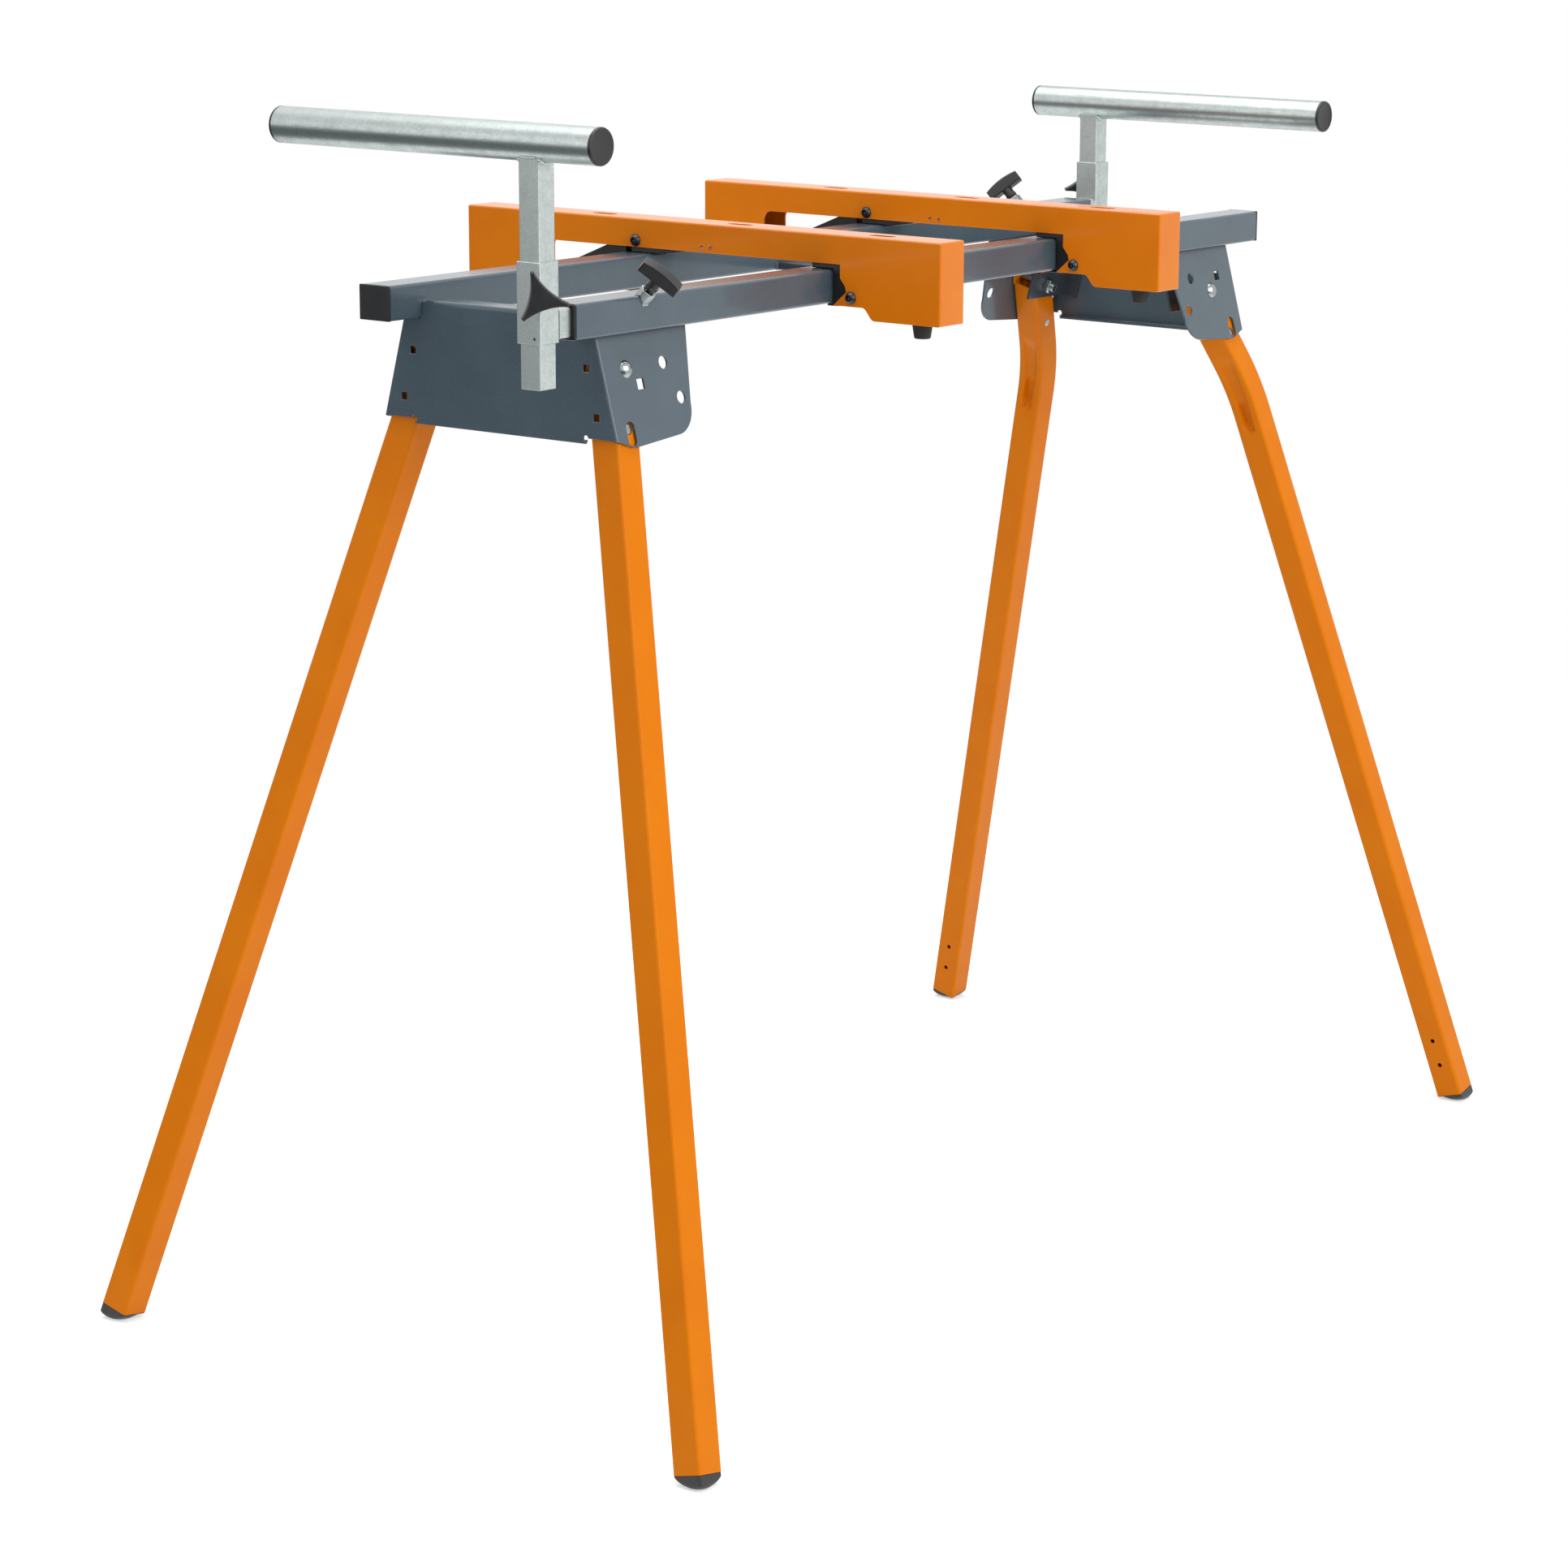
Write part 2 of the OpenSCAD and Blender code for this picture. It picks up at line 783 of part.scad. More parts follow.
// A plastic block in the arm's inner end that keeps it central in the rail
module arm_slide(end) {
    end_x = -rail_end_x + arm_inside;
    inside = arm_size - 2 * arm_wall;
    color("#25262a") at_end(end) translate([end_x - slide_block / 2, -rail_y, rail_mid_z]) {
        translate([0, -rail_inside_w / 2 + seat_gap, -rail_inside_h / 2 + seat_gap])
            cube([slide_block / 2, rail_inside_w - 2 * seat_gap, rail_inside_h - 2 * seat_gap]);
        translate([-slide_block, -inside / 2, -inside / 2])
            cube([slide_block + overrun, inside, inside]);
    }
}

module arm_slide_near() {
    arm_slide(NEAR);
}

module arm_slide_far() {
    arm_slide(FAR);
}

// The sleeve's outer corner, with +z along the star knob's axis
module sleeve_edge() {
    translate([-sleeve_x - arm_size / 2, -rail_y - arm_size / 2, star_nut_z])
        rotate([0, 0, 45]) rotate([0, -90, 0]) children();
}

module sleeve(end) {
    color("#b4bab8") at_end(end) {
        difference() {
            translate([-sleeve_x, -rail_y, sleeve_bottom_z]) tube_z(arm_size, arm_wall, sleeve_h);
            sleeve_edge() translate([0, 0, -weld_nut_h])
                cylinder(d = stud_d + thread_room, h = 2 * weld_nut_h);
        }
        sleeve_edge() edge_nut();
    }
}

module sleeve_near() {
    sleeve(NEAR);
}

module sleeve_far() {
    sleeve(FAR);
}

module column(end) {
    z = column_bottom_z[end == NEAR ? 0 : 1];
    tube_z_mid = support_z[end == NEAR ? 0 : 1];
    color("#c2c8c5") at_end(end) difference() {
        translate([-sleeve_x, -rail_y, z])
            tube_z(column_size, arm_wall, column_length + support_d / 2);
        translate([-sleeve_x, -rail_y - column_size, tube_z_mid])
            rod_y(support_d + 2 * thread_clearance, 2 * column_size);
        translate([-sleeve_x, -rail_y, tube_z_mid]) block(support_d, support_d, support_d);
    }
}

module column_near() {
    column(NEAR);
}

module column_far() {
    column(FAR);
}

module support_tube(end) {
    color("#c8cdca") at_end(end)
        translate([-sleeve_x, -rail_y - support_short_end + support_cap,
            support_z[end == NEAR ? 0 : 1]])
            difference() {
                rod_y(support_d, support_length - 2 * support_cap);
                translate([0, -overrun, 0])
                    rod_y(support_d - 2 * arm_wall, support_length + overrun);
            }
}

module support_tube_near() {
    support_tube(NEAR);
}

module support_tube_far() {
    support_tube(FAR);
}

module tube_caps(end) {
    short_y = -rail_y - support_short_end;
    plug_d = support_d - 2 * arm_wall - 2 * pivot_clearance;
    color("#25262a") at_end(end) translate([-sleeve_x, 0, support_z[end == NEAR ? 0 : 1]]) {
        translate([0, short_y, 0]) {
            rod_y(support_d, support_cap);
            rod_y(plug_d, support_cap + support_plug);
        }
        translate([0, short_y + support_length, 0]) mirror([0, 1, 0]) {
            rod_y(support_d, support_cap);
            rod_y(plug_d, support_cap + support_plug);
        }
    }
}

module tube_caps_near() {
    tube_caps(NEAR);
}

module tube_caps_far() {
    tube_caps(FAR);
}

// clamp knobs

// How far inside the outer corner a stud's tip stops, at an inner tube's edge
function tip_depth(corner_a, corner_b) = (corner_a + corner_b) / sqrt(2) - tip_gap;
star_tip = tip_depth((arm_size - column_size) / 2, (arm_size - column_size) / 2);
tee_tip = tip_depth((rail_w - arm_size) / 2, (rail_h - arm_size) / 2);

module star_stud(end) {
    color("#c9cccb") at_end(end) sleeve_edge() translate([0, 0, -star_tip])
        cylinder(d = stud_d, h = star_tip + weld_nut_h + star_gap + star_thick / 2);
}

module star_stud_near() {
    star_stud(NEAR);
}

module star_stud_far() {
    star_stud(FAR);
}

// Three arms with hollow sides between them
module star_outline() {
    steps = 8;
    waist = star_reach * star_waist_share;
    polygon([
        for (k = [0 : 2]) for (i = [0 : steps])
            let (
                share = i / steps,
                a = 120 * (k + share),
                tip = [star_reach, star_tip_w / 2 * (1 - 2 * share)],
                dip = 4 * share * (1 - share),
                edge = star_reach * (1 - dip) + waist * dip
            )
            edge * [cos(a), sin(a)]
    ]);
}

module star_knob(end) {
    bore = stud_d + 2 * pivot_clearance;
    color("#242529") at_end(end) sleeve_edge() translate([0, 0, weld_nut_h + star_gap])
        difference() {
            union() {
                linear_extrude(star_thick) rotate(star_turn) star_outline();
                cylinder(r = star_hub_r, h = star_thick);
            }
            translate([0, 0, -overrun]) cylinder(d = bore, h = star_thick / 2 + overrun + seat_gap);
        }
}

module star_knob_near() {
    star_knob(NEAR);
}

module star_knob_far() {
    star_knob(FAR);
}

module tee_stud(end) {
    color("#c9cccb") at_end(end) rail_edge(-rail_end_x + tee_knob_inset)
        translate([0, 0, -tee_tip])
            cylinder(d = stud_d, h = tee_tip + weld_nut_h + star_gap + tee_stem_h / 2);
}

module tee_stud_near() {
    tee_stud(NEAR);
}

module tee_stud_far() {
    tee_stud(FAR);
}

// A round stem with a crowned cross bar
module tee_knob(end) {
    bore = stud_d + 2 * pivot_clearance;
    crown_r = (pow(tee_length / 2, 2) + pow(tee_crown, 2)) / (2 * tee_crown);
    color("#242529") at_end(end) rail_edge(-rail_end_x + tee_knob_inset)
        translate([0, 0, weld_nut_h + star_gap]) difference() {
            union() {
                cylinder(d = tee_stem_d, h = tee_stem_h + overrun);
                rotate([0, 0, tee_turn]) translate([0, tee_bar_w / 2, tee_stem_h])
                    rotate([90, 0, 0]) linear_extrude(tee_bar_w) intersection() {
                        translate([-tee_length / 2, 0]) square([tee_length, tee_bar_h]);
                        translate([0, tee_bar_h - crown_r]) circle(r = crown_r, $fn = 96);
                    }
            }
            translate([0, 0, -overrun])
                cylinder(d = bore, h = tee_stem_h / 2 + overrun + seat_gap);
        }
}

module tee_knob_near() {
    tee_knob(NEAR);
}

module tee_knob_far() {
    tee_knob(FAR);
}

// tool bars

bar_front_y = -(rail_y + bar_front_reach);
bar_back_y = rail_y + bar_back_reach;
bar_top_z = rail_top_z + bar_rise;
bar_low_z = bar_top_z - bar_depth;
web_low_z = rail_top_z + bar_lift;
hook_bolt = [-rail_side_y - hook_bolt_out, rail_bottom_z + hook_bolt_up];
latch_pivot = [rail_y + seat_gap, rail_top_z + latch_up];

module at_bar(end) {
    translate([end == NEAR ? -near_bar_x : far_bar_x, 0, 0]) children();
}

// Side view of the bar, y across the stand and z up
module bar_outline() {
    step_z = bar_low_z + bar_step;
    step_y = -rail_side_y - bar_step_y;
    steps = 6;
    deep_y = bar_back_y - bar_back_deep;
    polygon(concat(
        [[bar_front_y, bar_top_z], [bar_front_y, bar_low_z]],
        [for (i = [0 : steps]) [
            step_y - bar_step_run * (1 - i / steps),
            bar_low_z + bar_step * (1 - cos(180 * i / steps)) / 2
        ]],
        [
            [-rail_side_y - hook_gap_y / 3, step_z],
            [-rail_side_y - hook_gap_y - hook_bulge, web_low_z - hook_steps[2]],
            [-rail_side_y - hook_gap_y - hook_bulge + overrun, web_low_z - hook_steps[1]],
            [-rail_side_y - hook_gap_y, web_low_z - hook_steps[0]],
            [-rail_side_y - hook_gap_y, web_low_z]
        ],
        [for (i = [0 : steps])
            [deep_y - bar_inner_corner, web_low_z - bar_inner_corner]
                + bar_inner_corner * [sin(90 * i / steps), cos(90 * i / steps)]],
        [[deep_y, bar_low_z], [bar_back_y, bar_low_z], [bar_back_y, bar_top_z]]
    ));
}

module slot_cut() {
    for (y = [-slot_length / 2 + slot_w / 2, slot_length / 2 - slot_w / 2])
        translate([0, y, -overrun]) cylinder(d = slot_w, h = bar_sheet + 2 * overrun);
    translate([0, 0, -overrun])
        block(slot_w, slot_length - slot_w, bar_sheet + 2 * overrun);
}

// A cross hole through both webs at a point of the side view
module web_bore(point, d) {
    translate([-bar_w, point[0], point[1]]) rotate([0, 90, 0]) cylinder(d = d, h = 2 * bar_w);
}

module tool_bar(end) {
    span = bar_back_y - bar_front_y;
    middle = (bar_back_y + bar_front_y) / 2;
    color("#e8902a") at_bar(end) difference() {
        translate([-bar_w / 2, 0, 0]) rotate([90, 0, 90]) linear_extrude(bar_w) bar_outline();
        translate([0, middle, bar_low_z - overrun])
            block(bar_w - 2 * bar_sheet, span - 2 * bar_sheet, bar_depth - bar_sheet + overrun);
        for (step = [-1, 0, 1])
            translate([0, slot_middle_y + step * slot_pitch, bar_top_z - bar_sheet]) slot_cut();
        for (y = [web_hole_y, web_hole_y - web_hole_pitch])
            web_bore([y, web_low_z + web_hole_up], web_hole_d);
        web_bore(hook_bolt, bar_bolt_d + 2 * pivot_clearance);
        web_bore(latch_pivot, bar_bolt_d + 2 * pivot_clearance);
    }
}

module tool_bar_near() {
    tool_bar(NEAR);
}

module tool_bar_far() {
    tool_bar(FAR);
}

// The moulded hook that grips the front rail, side view
module hook_outline() {
    face = -rail_side_y - seat_gap;
    bottom = rail_bottom_z - seat_gap;
    polygon([
        [-rail_side_y + hook_top_in, rail_top_z + seat_gap], [face, rail_top_z + seat_gap],
        [face, bottom], [face + hook_lip_in, bottom], [face + hook_lip_in, bottom - hook_lip],
        [face - hook_lip_in / 2, bottom - hook_lip],
        [hook_bolt[0] - hook_bolt_up, hook_bolt[1] - hook_bolt_up + seat_gap],
        [hook_bolt[0] - hook_bolt_up, hook_bolt[1] + hook_bolt_up],
        [-rail_side_y - hook_gap_y, web_low_z + bar_lift],
        [-rail_side_y + hook_top_in, web_low_z + bar_lift]
    ]);
}

module front_hook(end) {
    w = bar_w - 2 * bar_sheet - 2 * hook_side_gap;
    color("#242529") at_bar(end) difference() {
        translate([-w / 2, 0, 0]) rotate([90, 0, 90]) linear_extrude(w) hook_outline();
        web_bore(hook_bolt, bar_bolt_d + 2 * pivot_clearance);
    }
}

module front_hook_near() {
    front_hook(NEAR);
}

module front_hook_far() {
    front_hook(FAR);
}

// The pad that the bar rests on, over the back rail
module saddle_pad(end) {
    w = bar_w - 2 * bar_sheet - 2 * hook_side_gap;
    low = rail_top_z + seat_gap;
    h = latch_up - latch_boss_r - 2 * seat_gap;
    color("#242529") at_bar(end) difference() {
        translate([0, rail_y + (pad_out - pad_in) / 2, low]) block(w, pad_in + pad_out, h);
        translate([0, rail_y - pad_in / 2, low - overrun])
            cylinder(d = pad_screw_d + 2 * pivot_clearance, h = h + 2 * overrun);
    }
    color("#242529") at_bar(end) for (x = [-1, 1])
        translate([x * (w / 2 - bar_sheet / 2), rail_y - pad_in / 2, low + h - seat_gap])
            block(bar_sheet, pad_in / 2, bar_top_z - bar_sheet - seat_gap - low - h);
}

module saddle_pad_near() {
    saddle_pad(NEAR);
}

module saddle_pad_far() {
    saddle_pad(FAR);
}

// The latch lever: a boss on its bolt, a hook behind the back rail and a grip, side view
module latch_outline() {
    face = rail_side_y + seat_gap;
    bottom = rail_bottom_z - seat_gap;
    tail = latch_pivot + [latch_tail, -latch_tail_drop];
    knee = [face + latch_knee_out, web_low_z];
    steps = 10;
    polygon(concat([
        [rail_side_y + latch_arm, web_low_z + latch_boss_r / 2],
        knee, tail + [0, latch_grip_h / 2], tail + [0, -latch_grip_h / 2],
        [knee[0] - latch_arm / 2, knee[1] - 2 * latch_arm],
        [face + latch_arm + latch_arm / 2, bottom - latch_lip],
        [face - hook_lip_in, bottom - latch_lip], [face - hook_lip_in, bottom - latch_lip_slope],
        [face, bottom], [face, latch_pivot[1] - latch_boss_r]
    ], [for (i = [0 : steps])
        latch_pivot + latch_boss_r * [-sin(180 * i / steps), -cos(180 * i / steps)]]));
}

module latch_lever(end) {
    color("#242529") at_bar(end) difference() {
        translate([-latch_w / 2, 0, 0]) rotate([90, 0, 90]) linear_extrude(latch_w)
            latch_outline();
        web_bore(latch_pivot, bar_bolt_d + 2 * pivot_clearance);
    }
}

module latch_lever_near() {
    latch_lever(NEAR);
}

module latch_lever_far() {
    latch_lever(FAR);
}

// A cross bolt through both webs with a domed head on the near side and a nut on the other
module web_bolt(point) {
    shank = bar_w + bar_nut_h + bar_sheet;
    dome_r = (pow(bar_bolt_head_d / 2, 2) + pow(bar_bolt_head_h, 2)) / (2 * bar_bolt_head_h);
    translate([-bar_w / 2, point[0], point[1]]) rotate([0, 90, 0]) {
        translate([0, 0, -overrun / 2]) cylinder(d = bar_bolt_d, h = shank + overrun / 2);
        intersection() {
            translate([0, 0, -bar_bolt_head_h]) cylinder(d = bar_bolt_head_d, h = bar_bolt_head_h);
            translate([0, 0, dome_r - bar_bolt_head_h]) sphere(r = dome_r);
        }
        translate([0, 0, bar_w]) cylinder(d = bar_bolt_head_d, h = bar_nut_h, $fn = 6);
    }
}

module bar_fasteners(end) {
    low = rail_top_z + seat_gap;
    h = latch_up - latch_boss_r - 2 * seat_gap;
    color("#3a3b3d") at_bar(end) {
        web_bolt(hook_bolt);
        web_bolt(latch_pivot);
        translate([0, rail_y - pad_in / 2, low + h])
            cylinder(d = pad_screw_head_d, h = pad_screw_head_h);
        translate([0, rail_y - pad_in / 2, low]) cylinder(d = pad_screw_d, h = h + overrun / 2);
    }
}

module bar_fasteners_near() {
    bar_fasteners(NEAR);
}

module bar_fasteners_far() {
    bar_fasteners(FAR);
}

module bar_feet(end) {
    inside = bar_w - 2 * bar_sheet;
    color("#2c2c2e") at_bar(end)
        for (y = [bar_front_y + bar_foot_in, bar_back_y - bar_back_foot_in])
            translate([0, y, bar_low_z - bar_foot_h]) {
                cylinder(d1 = bar_foot_tip_d, d2 = bar_foot_d, h = bar_foot_h);
                translate([0, 0, bar_foot_h - seat_gap])
                    cylinder(d = bar_foot_d, h = bar_depth - bar_sheet);
            }
}

module bar_feet_near() {
    bar_feet(NEAR);
}

module bar_feet_far() {
    bar_feet(FAR);
}

rail_front();
rail_back();
rail_end_caps();
rail_mouth_liners();
centre_brace();
housing_near();
housing_far();
leg_brackets();
pivot_bolts();
pivot_nuts();
arm_lock_nuts();
leg_near_front();
leg_near_back();
leg_far_front();
leg_far_back();
foot_near_front();
foot_near_back();
foot_far_front();
foot_far_back();
lock_button_near_front();
lock_button_near_back();
lock_button_far_front();
lock_button_far_back();
lock_spring_near_front();
lock_spring_near_back();
lock_spring_far_front();
lock_spring_far_back();
arm_near();
arm_far();
sleeve_near();
sleeve_far();
arm_slide_near();
arm_slide_far();
column_near();
column_far();
support_tube_near();
support_tube_far();
tube_caps_near();
tube_caps_far();
star_stud_near();
star_stud_far();
star_knob_near();
star_knob_far();
tee_stud_near();
tee_stud_far();
tee_knob_near();
tee_knob_far();
tool_bar_near();
tool_bar_far();
front_hook_near();
front_hook_far();
saddle_pad_near();
saddle_pad_far();
latch_lever_near();
latch_lever_far();
bar_fasteners_near();
bar_fasteners_far();
bar_feet_near();
bar_feet_far();
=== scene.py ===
"""Looks of the folding miter saw stand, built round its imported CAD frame. Sizes are in mm."""

from math import atan2, cos, degrees, pi, radians, sin, sqrt, tan

import bmesh
import bpy
from mathutils import Matrix, Vector
from mathutils.geometry import tessellate_polygon


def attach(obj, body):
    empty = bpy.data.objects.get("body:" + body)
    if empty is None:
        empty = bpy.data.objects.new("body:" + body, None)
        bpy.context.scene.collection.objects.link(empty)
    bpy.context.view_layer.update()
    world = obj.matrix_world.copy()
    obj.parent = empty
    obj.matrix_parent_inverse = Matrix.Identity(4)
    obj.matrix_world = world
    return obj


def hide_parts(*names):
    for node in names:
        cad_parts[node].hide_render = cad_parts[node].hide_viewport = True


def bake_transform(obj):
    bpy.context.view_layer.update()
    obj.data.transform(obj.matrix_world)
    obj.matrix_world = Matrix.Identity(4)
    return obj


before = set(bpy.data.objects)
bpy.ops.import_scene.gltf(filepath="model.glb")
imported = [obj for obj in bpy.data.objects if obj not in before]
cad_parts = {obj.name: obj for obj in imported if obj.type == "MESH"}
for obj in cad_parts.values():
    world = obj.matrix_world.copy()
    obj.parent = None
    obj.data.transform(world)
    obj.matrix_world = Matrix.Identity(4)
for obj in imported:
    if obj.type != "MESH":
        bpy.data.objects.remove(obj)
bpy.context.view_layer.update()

# ---------------------------------------------------------------- the viewpoint
# The photograph was taken from the near front corner, about four metres away and a little
# above the rails, with a long lens.

MM = 0.001


def stand(name, data):
    """A new object in the scene."""
    made = bpy.data.objects.new(name, data)
    bpy.context.scene.collection.objects.link(made)
    return made


eye = Vector((-3056, -2209, 1284)) * MM
yaw, pitch, roll = radians(34.42), radians(13.31), radians(0.74)
ahead = Vector((cos(pitch) * cos(yaw), cos(pitch) * sin(yaw), -sin(pitch)))
level = ahead.cross(Vector((0, 0, 1))).normalized()
upright = level.cross(ahead)
right = level * cos(roll) + upright * sin(roll)
top = upright * cos(roll) - level * sin(roll)
camera = stand("photo_view", bpy.data.cameras.new("photo_view"))
camera.matrix_world = Matrix.Translation(eye) @ Matrix((right, top, -ahead)).transposed().to_4x4()
camera.data.sensor_width = 36
camera.data.lens = 95.67
camera.data.shift_x = -0.1056
camera.data.shift_y = 0.0088
camera.data.clip_end = 60
bpy.context.scene.camera = camera

# ---------------------------------------------------------------- rails
# Two rectangular steel tubes with rounded corners, roll-formed, seam-welded and powder
# coated in a satin blue-grey. Everything else is welded to them or slides on them.


def srgb(code):
    """The linear colour of an sRGB hex value."""
    parts = [int(code[i : i + 2], 16) / 255 for i in (0, 2, 4)]
    return [*(c / 12.92 if c <= 0.04045 else ((c + 0.055) / 1.055) ** 2.4 for c in parts), 1]


def add(tree, kind, inputs=None, **settings):
    """Adds a node: inputs are linked where they are sockets, and set where they are values."""
    made = tree.nodes.new(kind)
    for name, value in settings.items():
        setattr(made, name, value)
    for name, value in (inputs or {}).items():
        if isinstance(value, bpy.types.NodeSocket):
            tree.links.new(value, made.inputs[name])
        else:
            made.inputs[name].default_value = value
    return made


def blank_tree(owner):
    """The emptied node tree of a new material or world."""
    owner.use_nodes = True
    owner.node_tree.nodes.clear()
    return owner.node_tree


def new_finish(name, **values):
    """A material with one shader, and the object's own coordinates in metres."""
    made = bpy.data.materials.new(name)
    tree = blank_tree(made)
    place = add(tree, "ShaderNodeTexCoord").outputs["Object"]
    shader = add(tree, "ShaderNodeBsdfPrincipled", values)
    add(tree, "ShaderNodeOutputMaterial", {"Surface": shader.outputs["BSDF"]})
    return made, tree, place, shader


def coat(tree, shader, mix, colours, gloss, height, relief, depth):
    """Gives a shader a mix of two colours, a roughness and a bump, each from a pattern."""
    colour = add(
        tree, "ShaderNodeMix", {"Factor": mix, 6: colours[0], 7: colours[1]}, data_type="RGBA"
    )
    bump = add(tree, "ShaderNodeBump", {"Height": height, "Strength": relief, "Distance": depth * MM})
    tree.links.new(colour.outputs[2], shader.inputs["Base Color"])
    tree.links.new(gloss.outputs["Result"], shader.inputs["Roughness"])
    tree.links.new(bump.outputs["Normal"], shader.inputs["Normal"])


def powder_coat(name, body, shade, low, high, shine, gloss_film):
    """Baked polyester powder: an even satin colour, faint clouds in it where the powder lies
    thicker, and an orange-peel surface whose bumps are about a millimetre across."""
    made, tree, place, shader = new_finish(
        name, **{"Coat Weight": gloss_film, "Coat Roughness": 0.1, "Specular IOR Level": shine}
    )
    cloud = add(tree, "ShaderNodeTexNoise", {"Vector": place, "Scale": 1 / (55 * MM), "Detail": 3.0})
    peel = add(tree, "ShaderNodeTexNoise", {"Vector": place, "Scale": 1 / (1.3 * MM), "Detail": 1.5})
    tone = add(
        tree, "ShaderNodeMapRange",
        {"Value": cloud.outputs["Fac"], "From Min": 0.32, "From Max": 0.68},
    )
    gloss = add(
        tree, "ShaderNodeMapRange",
        {"Value": peel.outputs["Fac"], "From Min": 0.3, "From Max": 0.7, "To Min": low, "To Max": high},
    )
    coat(tree, shader, tone.outputs["Result"], (body, shade), gloss, peel.outputs["Fac"], 0.25, 0.05)
    return made


# satin powder coat: reads as an even slate blue-grey with a soft broad sheen
blue_grey_coat = powder_coat("blue_grey_powder_coat", srgb("4F5D66"), srgb("495760"), 0.2, 0.28, 0.35, 0.4)

# how far the sharp rim of a cut or turned end is broken
BREAK = 0.3


def rounded_rectangle(w, h, corner, splits=1, steps=4):
    """Points round a w by h section, with each flat divided into a number of splits."""
    points = []
    for k in range(4):
        sx, sy = ((1, 1), (-1, 1), (-1, -1), (1, -1))[k]
        centre = (sx * (w / 2 - corner), sy * (h / 2 - corner))
        for i in range(steps + 1):
            a = radians(90 * (k + i / steps))
            points.append((centre[0] + corner * cos(a), centre[1] + corner * sin(a)))
        nx, ny = ((-1, 1), (-1, -1), (1, -1), (1, 1))[k]
        after = (nx * (w / 2 - corner), ny * (h / 2)) if k % 2 == 0 else (nx * (w / 2), ny * (h / 2 - corner))
        last = points[-1]
        for i in range(1, splits):
            f = i / splits
            points.append((last[0] + (after[0] - last[0]) * f, last[1] + (after[1] - last[1]) * f))
    return points


def skin(bm, rings, closed=False):
    """Joins each ring of points to the next with faces, and with closed the last to the first."""
    for low, high in zip(rings, rings[1:] + (rings[:1] if closed else [])):
        for i in range(len(low)):
            j = (i + 1) % len(low)
            bm.faces.new((low[i], low[j], high[j], high[i]))


def square_tube(stations, across, w, h, wall, corner, splits=1, push=None):
    """A tube along stations, each a point, its direction and its distance along the tube.
    across is the section's w direction. push moves a wall point: (distance, u, v) -> (u, v)."""
    outer = rounded_rectangle(w, h, corner, splits)
    inner = rounded_rectangle(w - 2 * wall, h - 2 * wall, max(corner - wall, 0.5), splits)
    rim = rounded_rectangle(w - 2 * BREAK, h - 2 * BREAK, corner - BREAK, splits)
    first, last = stations[0], stations[-1]
    inset = (first[0] + first[1] * BREAK, first[1], first[2] + BREAK)
    outset = (last[0] - last[1] * BREAK, last[1], last[2] - BREAK)
    path = [inset, *stations[1:-1], outset]
    rings = [(first, rim), *((s, outer) for s in path), (last, rim)]
    rings += [(s, inner) for s in reversed(stations)]
    bm = bmesh.new()
    loops = []
    for (point, ahead, run), section in rings:
        up = across.cross(ahead).normalized()
        loop = []
        for u, v in section:
            if push:
                u, v = push(run, u, v)
            loop.append(bm.verts.new(point + across * u + up * v))
        loops.append(loop)
    skin(bm, loops, closed=True)
    bmesh.ops.recalc_face_normals(bm, faces=bm.faces)
    return bm


def straight(a, b):
    """Stations of a straight tube from a to b."""
    a, b = Vector(a), Vector(b)
    ahead = (b - a).normalized()
    return [(a, ahead, 0.0), (b, ahead, (b - a).length)]


def settle(name, bm, finish, body, slot, *nodes, sharp=35, bend=None):
    """Turns a mesh in mm into a finished piece that rides on a body and stands for nodes."""
    for v in bm.verts:
        v.co *= MM
    mesh = bpy.data.meshes.new(name)
    bm.to_mesh(mesh)
    bm.free()
    return present(name, mesh, finish, body, slot, *nodes, sharp=sharp, bend=bend)


def result_of(made):
    """The mesh that an object's modifiers make of it."""
    graph = bpy.context.evaluated_depsgraph_get()
    graph.update()
    return bpy.data.meshes.new_from_object(made.evaluated_get(graph))


def present(name, mesh, finish, body, slot, *nodes, sharp=35, bend=None):
    """Shows a mesh in metres as a finished piece. With bend, it is left where it stands and rides on no body;
    the two points given in bend are not used."""
    mesh.name = name
    mesh.materials.clear()
    mesh.materials.append(finish)
    for p in mesh.polygons:
        p.use_smooth = True
        p.material_index = 0
    mesh.set_sharp_from_angle(angle=radians(sharp))
    piece = stand(name, mesh)
    weigh = piece.modifiers.new("flat_faces_lead", "WEIGHTED_NORMAL")
    weigh.weight, weigh.keep_sharp = 80, True
    piece.data = result_of(piece)
    piece.data.name = name
    piece.modifiers.remove(weigh)
    bpy.data.meshes.remove(mesh)
    if bend:
        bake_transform(piece)
    else:
        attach(piece, body)
    if nodes:
        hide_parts(*nodes)
    return piece


RAIL_LENGTH, RAIL_W, RAIL_H, RAIL_TOP = 1050, 32, 29, 904
RAIL_WALL, RAIL_CORNER = 1.5, 2.8
RAIL_Y, RAIL_MID = 97.5, RAIL_TOP - RAIL_H / 2
RAIL_LOW = RAIL_TOP - RAIL_H
ALONG, ACROSS, UP = Vector((1, 0, 0)), Vector((0, 1, 0)), Vector((0, 0, 1))
SIDES = {"front": -1, "back": 1}
ENDS = {"near": -1, "far": 1}

for side, s in SIDES.items():
    tube = square_tube(
        straight((-RAIL_LENGTH / 2, s * RAIL_Y, RAIL_MID), (RAIL_LENGTH / 2, s * RAIL_Y, RAIL_MID)),
        ACROSS, RAIL_W, RAIL_H, RAIL_WALL, RAIL_CORNER,
    )
    settle(f"rail_tube_{side}", tube, blue_grey_coat, "frame", "blue_grey_paint", f"rail_{side}")
